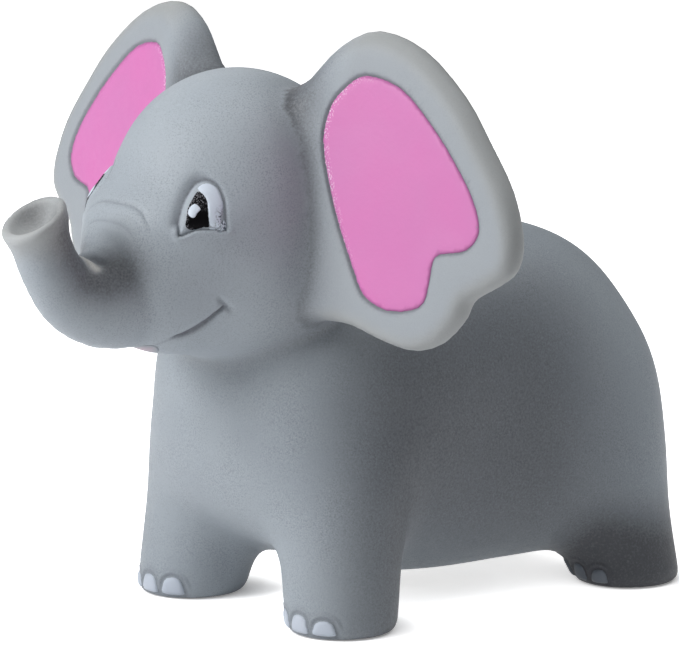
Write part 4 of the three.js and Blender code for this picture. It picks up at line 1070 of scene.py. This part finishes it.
CRESCENT_LOOP, DAB_LOOP, PUPIL_LOOP, GLINT_LOOP = (
    curve_through(outline, 3, closed=True) for outline in (CRESCENT, CORNER_DAB, PUPIL, GLINT))
NAIL_SEED = 51
for side, mirror in (("left", False), ("right", True)):
    film(f"{side}_ear_paint", f"{side}_ear_pink", pink, EAR_PLANE, [PANEL_LOOP], mirror,
         step=0.7, lift=0.05, rough=0.045, seed=11)
    film(f"{side}_eye_white_paint", f"{side}_eye_white", eye_white, EYE_PLANE,
         [CRESCENT_LOOP, DAB_LOOP], mirror, step=0.24, lift=0.03, rough=0.03, seed=21)
    film(f"{side}_pupil_paint", f"{side}_eye_pupil", black, EYE_PLANE,
         [PUPIL_LOOP], mirror, step=0.24, lift=0.06, rough=0.035, seed=31)
    film(f"{side}_glint_paint", f"{side}_eye_glint", eye_white, EYE_PLANE,
         [GLINT_LOOP], mirror, step=0.2, lift=0.1, rough=0.02, seed=41, dome=0.06)
    for k, (name, plane, loop) in enumerate(NAILS):
        # the rear nails take the white paint darkened as painted shade
        film(f"{side}_{name}_paint", f"{side}_{name}", shaded_white if "rear" in name else white,
             plane, [loop], mirror, step=0.35, lift=0.05, rough=0.035, seed=NAIL_SEED + k)
film("lip_paint", "lip_pink", lip_pink, LIP_PLANE, [LIP_LOOP], False,
     step=0.35, lift=0.03, rough=0.05, seed=71)

for node, material in (("squeaker_cup", plastic), ("squeaker_cap", plastic), ("reed_tube", plastic),
                       ("reed_clamp", plastic), ("reed_tongue", reed)):
    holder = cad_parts[node]
    if not holder.material_slots:
        holder.data.materials.append(material)
    holder.material_slots[0].link = "OBJECT"
    holder.material_slots[0].material = material


# The floor, the lights and the camera, in metres from here on
FLOOR_HALF = 6.0
# painted shadow on the floor: where the floor looks for what dims its glow: up, and towards the key light,
# this far
SHADE_LEAN = (-0.3, -0.65, 0.7)
SHADE_REACH = 6.5 * MM
SHADE_SPAN = (0.3, 0.85, 0.22, 0.98)
WORLD_LEVEL = 0.03
# azimuth and elevation in degrees, distance and size, power in watts, and the place that the lamp looks at
LAMPS = dict(
    key=(-20, 30, 0.55, 0.36, 2.6, (0, -0.01, 0.045)),
    front=(-5, 50, 0.5, 0.3, 0.12, (0, -0.02, 0.05)),
    top=(0, 86, 0.5, 0.4, 0.62, (0, 0, 0.05)),
    fill=(50, 35, 0.6, 0.4, 0.36, (0, 0, 0.05)),
    rim=(-120, 30, 0.6, 0.4, 0.4, (0, 0, 0.05)),
    back=(150, 50, 0.6, 0.4, 1.2, (0, 0, 0.05)),
)
CAMERA_PLACE = (49.9, 10.0, 0.85, (0, SHIFT[1] * MM, 0.042))
CAMERA_LENS, CAMERA_SENSOR, CAMERA_SHIFT = 296.3, 36.0, (-0.1003, -0.0211)
CAMERA_CLIP = 0.05


def floor_material():
    n = Nodes(bpy.data.materials.new("floor"))
    n.value(linear(*FLOOR_TONE), "Base Color")
    n.value(0.9, "Roughness")
    n.value(0.1, "Specular IOR Level")
    ray = n.add("ShaderNodeLightPath").outputs
    mirrored = n.math("MAXIMUM", ray["Is Glossy Ray"], ray["Is Transmission Ray"])
    seen = n.math("MAXIMUM", ray["Is Camera Ray"], mirrored)
    glow = n.add("ShaderNodeEmission")
    # the floor glows white to the eye; a painted shadow dims that glow next to the feet, so only soft shadows
    # there are seen on it
    painted_floor_shadow = n.add("ShaderNodeAmbientOcclusion", samples=8)
    painted_floor_shadow.inputs["Distance"].default_value = SHADE_REACH
    away = n.add("ShaderNodeCombineXYZ")
    for key, value in zip("XYZ", SHADE_LEAN):
        away.inputs[key].default_value = value
    n.link(away.outputs[0], painted_floor_shadow.inputs["Normal"])
    n.link(n.times(seen, n.span(painted_floor_shadow.outputs["AO"], *SHADE_SPAN)), glow.inputs["Strength"])
    both = n.add("ShaderNodeAddShader")
    n.link(n.shader.outputs[0], both.inputs[0])
    n.link(glow.outputs[0], both.inputs[1])
    n.link(both.outputs[0], n.tree.nodes["Material Output"].inputs["Surface"])
    return n.holder


def make_floor():
    mesh = bpy.data.meshes.new("floor")
    corners = [(x * FLOOR_HALF, y * FLOOR_HALF, 0) for x, y in ((-1, -1), (1, -1), (1, 1), (-1, 1))]
    mesh.from_pydata(corners, [], [(0, 1, 2, 3)])
    mesh.materials.append(floor_material())
    floor = bpy.data.objects.new("floor", mesh)
    bpy.context.scene.collection.objects.link(floor)


def make_world():
    """White to the eye, and a faint light on the object."""
    world = bpy.data.worlds.new("studio")
    bpy.context.scene.world = world
    n = Nodes(world)
    background = n.tree.nodes["Background"].inputs
    ray = n.add("ShaderNodeLightPath").outputs
    seen = n.math("MAXIMUM", ray["Is Camera Ray"], ray["Is Transmission Ray"])
    n.link(n.span(seen, 0.0, 1.0, WORLD_LEVEL, 1.0), background["Strength"])
    background["Color"].default_value = (1.0, 1.0, 1.0, 1.0)


def hold(name, data, azimuth, elevation, distance, aim):
    """An object that looks at a place from a distance, with azimuth 0 in front of the face."""
    a, e = math.radians(azimuth), math.radians(elevation)
    back = Vector((math.sin(a) * math.cos(e), -math.cos(a) * math.cos(e), math.sin(e)))
    holder = bpy.data.objects.new(name, data)
    holder.location = Vector(aim) + back * distance
    holder.rotation_euler = back.to_track_quat("Z", "Y").to_euler()
    bpy.context.scene.collection.objects.link(holder)
    return holder


def make_lamp(name, azimuth, elevation, distance, size, power, aim):
    lamp = bpy.data.lights.new(name, "AREA")
    lamp.shape = "DISK"
    lamp.size = size
    lamp.energy = power
    hold(name, lamp, azimuth, elevation, distance, aim)


def make_camera():
    camera = bpy.data.cameras.new("camera")
    camera.lens = CAMERA_LENS
    camera.sensor_width = CAMERA_SENSOR
    camera.sensor_fit = "HORIZONTAL"
    camera.shift_x, camera.shift_y = CAMERA_SHIFT
    camera.clip_start = CAMERA_CLIP
    bpy.context.scene.camera = hold("camera", camera, *CAMERA_PLACE)


make_floor()
make_world()
for name, settings in LAMPS.items():
    make_lamp(name, *settings)
make_camera()
bpy.context.scene.view_settings.view_transform = "Standard"
